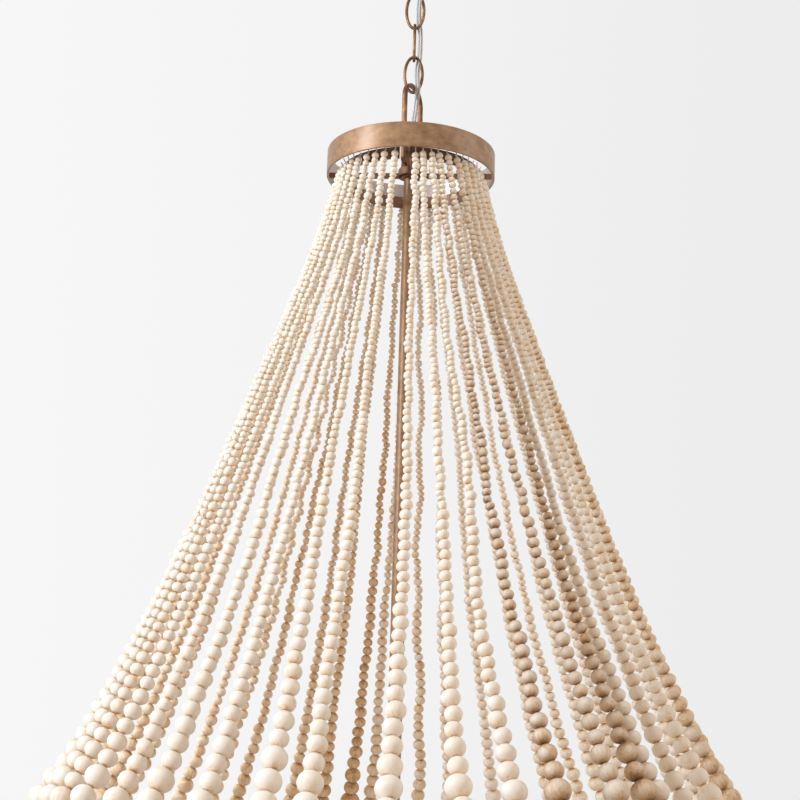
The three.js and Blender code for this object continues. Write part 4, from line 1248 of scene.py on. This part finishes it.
def make_arm(number, azimuth):
    """A tube that leaves the hub level, dips, and rises under the candle cup."""
    hub_radius, hub_bottom, hub_top = extent("lamp_hub")
    middle = (hub_bottom + hub_top) / 2
    start = hub_radius + JOINT_GAP
    end = extent(f"candle_cup_{number}")[1] - JOINT_GAP
    corners = [
        (start, 0, middle),
        (start + 0.4 * (LAMP_RADIUS - start), 0, middle),
        (LAMP_RADIUS, 0, middle - ARM_DIP),
        (LAMP_RADIUS, 0, end),
    ]
    spin = np.array(Matrix.Rotation(azimuth, 3, "Z"))
    path = bezier_path(corners, ARM_STEPS) @ spin.T
    section = round_section(ARM_RADIUS, 20)
    arm = tube(f"lamp_arm_{number}_tube", path, section, [gold], up=spin @ (0, 1, 0))
    stand_for(arm, "fixture", "antique_gold", f"lamp_arm_{number}")


def make_candle_cup(number, centre):
    """A dish with a wall 1.2 mm thick."""
    _, bottom, top = extent(f"candle_cup_{number}")
    outside = [(0, bottom), (12, bottom), (17.8, bottom + 3.2), (20.4, bottom + 6.9), (21, top)]
    inside = [(19.8, top), (19.2, bottom + 7.1), (16.6, bottom + 4.4), (12, bottom + 1.2), (0, bottom + 1.2)]
    turned_for(f"candle_cup_{number}", "metal", outside + inside, gold, 64, 0.4, centre=centre)


def make_candle_cover(number, centre):
    _, bottom, top = extent(f"candle_cover_{number}")
    profile = ring_profile(10.5, 11.5, bottom, top)
    turned_for(f"candle_cover_{number}", "sleeve", profile, candle, 48, 0.3, slot="candle", centre=centre)


def make_socket(number, centre):
    """A round holder, open at its top for the bulb's base."""
    _, bottom, top = extent(f"lamp_socket_{number}")
    radius, bore, depth = 9.5, 7, 22
    floor = top - depth
    profile = [(0, bottom), (radius, bottom), (radius, top), (bore, top), (bore, floor), (0, floor)]
    turned_for(f"lamp_socket_{number}", "holder", profile, black, 48, 0.3, slot="socket", centre=centre)


# The bulb's glass, as (radius, height above the glass's foot)
BULB_OUTLINE = [
    (6.2, -1.5), (6.5, 0), (8.2, 2.4), (10.6, 5), (13.6, 9.5), (16.0, 16), (16.5, 24), (16.2, 31),
    (14.2, 40), (11.2, 50), (8.2, 58.5), (5.1, 65), (2.8, 70), (1.5, 73.4), (0.0, 74),
]
BULB_HEIGHT = 74
GLASS_WALL = 0.6
BULB_THREAD_PITCH = 1.8
FILAMENT_TURNS = 2.5
FILAMENT_STEPS = 60


def make_bulb_glass(number, centre, foot):
    outside = [(radius, foot + height) for radius, height in BULB_OUTLINE]
    inside = [(max(radius - GLASS_WALL, 0.0), height - GLASS_WALL / 2) for radius, height in outside[::-1]]
    shell = outside + inside + outside[:1]
    turned_for(f"bulb_{number}", "glass", shell, glass, 48, 0, slot="bulb_glass", centre=centre)


def make_bulb_base(number, centre, bottom, foot):
    """The threaded metal base, with the glass stem that holds the filament drawn on as a thin spike."""
    profile = [(0, bottom), (3.5, bottom), (5.5, bottom + 3)]
    height = bottom + 3.5
    while height < foot - 3.5:
        profile += [(6.5, height + 0.6), (6.0, height + 1.5)]
        height += BULB_THREAD_PITCH
    profile += [(6.5, foot - 2.5), (6.5, foot - 0.5)]
    profile += [(2.2, foot + 0.5), (1.4, foot + 20.5), (0, foot + 22.5)]
    base = turned(f"bulb_{number}_base", profile, [zinc], 40, 0, centre)
    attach(base, "fixture")


def make_filament(number, centre, foot):
    """A loose coil that rises from the spike and comes back to it."""
    radius, start, rise = 3.2, foot + 18.5, 26
    path = []
    for k in range(FILAMENT_STEPS + 1):
        share = k / FILAMENT_STEPS
        angle = TURN * FILAMENT_TURNS * share
        x, y = centre[0] + radius * math.cos(angle), centre[1] + radius * math.sin(angle)
        path.append((x, y, start + rise * math.sin(math.pi * share)))
    wire = tube(f"bulb_{number}_filament", path, round_section(0.28, 6), [filament])
    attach(wire, "fixture")


def make_lamps():
    for number in range(1, LAMP_COUNT + 1):
        azimuth = math.radians(FIRST_LAMP_DEGREES + 360 / LAMP_COUNT * (number - 1))
        centre = (LAMP_RADIUS * math.cos(azimuth), LAMP_RADIUS * math.sin(azimuth))
        _, bulb_bottom, bulb_top = extent(f"bulb_{number}")
        foot = bulb_top - BULB_HEIGHT
        make_arm(number, azimuth)
        make_candle_cup(number, centre)
        make_candle_cover(number, centre)
        make_socket(number, centre)
        make_bulb_glass(number, centre, foot)
        make_bulb_base(number, centre, bulb_bottom, foot)
        make_filament(number, centre, foot)


# Floor and world

FLOOR_HALF_SIDE = 4200
FLOOR_HEIGHT = -3600
FLOOR_GLOW = 0.42
BACKDROP_STOPS = [
    (0, (0.939, 0.939, 0.939)), (0.4, (0.905, 0.905, 0.905)),
    (0.7, (0.86, 0.86, 0.862)), (1, (0.835, 0.835, 0.84)),
]
AMBIENT_COLOUR = (1.0, 0.76, 0.53)
AMBIENT_STRENGTH = 0.56


def seen_rays(tree):
    """1 for the rays that show the background: camera rays, and those through glass or off metal."""
    kind = tree.nodes.new("ShaderNodeLightPath")
    direct = math_node(tree, "MAXIMUM", kind.outputs["Is Camera Ray"], kind.outputs["Is Transmission Ray"])
    return math_node(tree, "MAXIMUM", direct, kind.outputs["Is Glossy Ray"])


def make_floor():
    material, tree, principled = shader("pale_floor")
    feed(tree, principled, {
        "Base Color": (0.86, 0.86, 0.85, 1),
        "Roughness": 0.9,
        "Emission Color": (0.58, 0.78, 1.0, 1),
        "Emission Strength": math_node(tree, "MULTIPLY", seen_rays(tree), FLOOR_GLOW),
    })
    ways = ((-1, -1), (1, -1), (1, 1), (-1, 1))
    corners = [(x * FLOOR_HALF_SIDE, y * FLOOR_HALF_SIDE, FLOOR_HEIGHT) for x, y in ways]
    floor = new_object("floor", corners, [(0, 1, 2, 3)], [material], smooth=False)


def make_world():
    """A pale backdrop, brighter on the left, for the rays that are seen, and warm light from all round."""
    world = bpy.data.worlds.new("studio")
    bpy.context.scene.world = world
    world.use_nodes = True
    tree = world.node_tree
    tree.nodes.clear()
    way = tree.nodes.new("ShaderNodeTexCoord").outputs["Generated"]
    across = spread(tree, new_node(tree, "ShaderNodeSeparateXYZ", {"Vector": way}, "X"), -0.3, 0.3, 0, 1)
    pale = {"Color": ramp(tree, across, BACKDROP_STOPS), "Strength": 1.0}
    seen = new_node(tree, "ShaderNodeBackground", pale, "Background")
    warm = {"Color": (*AMBIENT_COLOUR, 1), "Strength": AMBIENT_STRENGTH}
    ambient = new_node(tree, "ShaderNodeBackground", warm, "Background")
    mix = new_node(tree, "ShaderNodeMixShader", {0: seen_rays(tree), 1: ambient, 2: seen}, "Shader")
    feed(tree, tree.nodes.new("ShaderNodeOutputWorld"), {"Surface": mix})


# Lights and camera, placed in metres

LIT_POINT = (0, 0, -0.6)
CAMERA_PLACE = (-0.0038, -1.432, -0.854)
CAMERA_PITCH = 13.7
CAMERA_ROLL = 1.7


def area_light(name, place, size, power, colour):
    light = bpy.data.lights.new(name, "AREA")
    light.shape = "RECTANGLE"
    light.size, light.size_y = size
    light.energy = power
    light.color = colour
    lamp = bpy.data.objects.new(name, light)
    lamp.location = place
    lamp.rotation_euler = (Vector(LIT_POINT) - Vector(place)).to_track_quat("-Z", "Y").to_euler()
    bpy.context.scene.collection.objects.link(lamp)


def make_camera():
    lens = bpy.data.cameras.new("camera")
    lens.lens = 72
    lens.sensor_width = 36
    lens.clip_end = 50
    camera = bpy.data.objects.new("camera", lens)
    pitch = Matrix.Rotation(math.radians(90 + CAMERA_PITCH), 4, "X")
    roll = Matrix.Rotation(math.radians(CAMERA_ROLL), 4, "Z")
    camera.matrix_world = Matrix.Translation(CAMERA_PLACE) @ (pitch @ roll)
    bpy.context.scene.collection.objects.link(camera)
    bpy.context.scene.camera = camera


make_strands("upper", upper_strand, EMPTY_UPPER_PLACE)
make_strands("lower", lower_strand)
make_crown_band()
make_lower_band()
make_center_stem()
make_chain()
make_top_loop()
make_hub_cup()
dress_nodes()
threaded("canopy_nipple", "canopy")
threaded("stem_nipple", "fixture")
threaded("bottom_nipple", "fixture")
make_canopy()
make_canopy_collar()
make_mounting_screws()
make_canopy_loop()
make_cord()
make_lamp_hub()
make_bottom_plate()
make_finial()
make_lamps()
make_floor()
make_world()
area_light("key", (-2.1, -1.12, 0.35), size=(0.7, 1.5), power=60, colour=(0.84, 0.92, 1.0))
area_light("right", (2.3, -0.5, 0.2), size=(1.4, 1.8), power=13, colour=(0.92, 0.96, 1.0))
make_camera()

bpy.context.scene.view_settings.view_transform = "Standard"
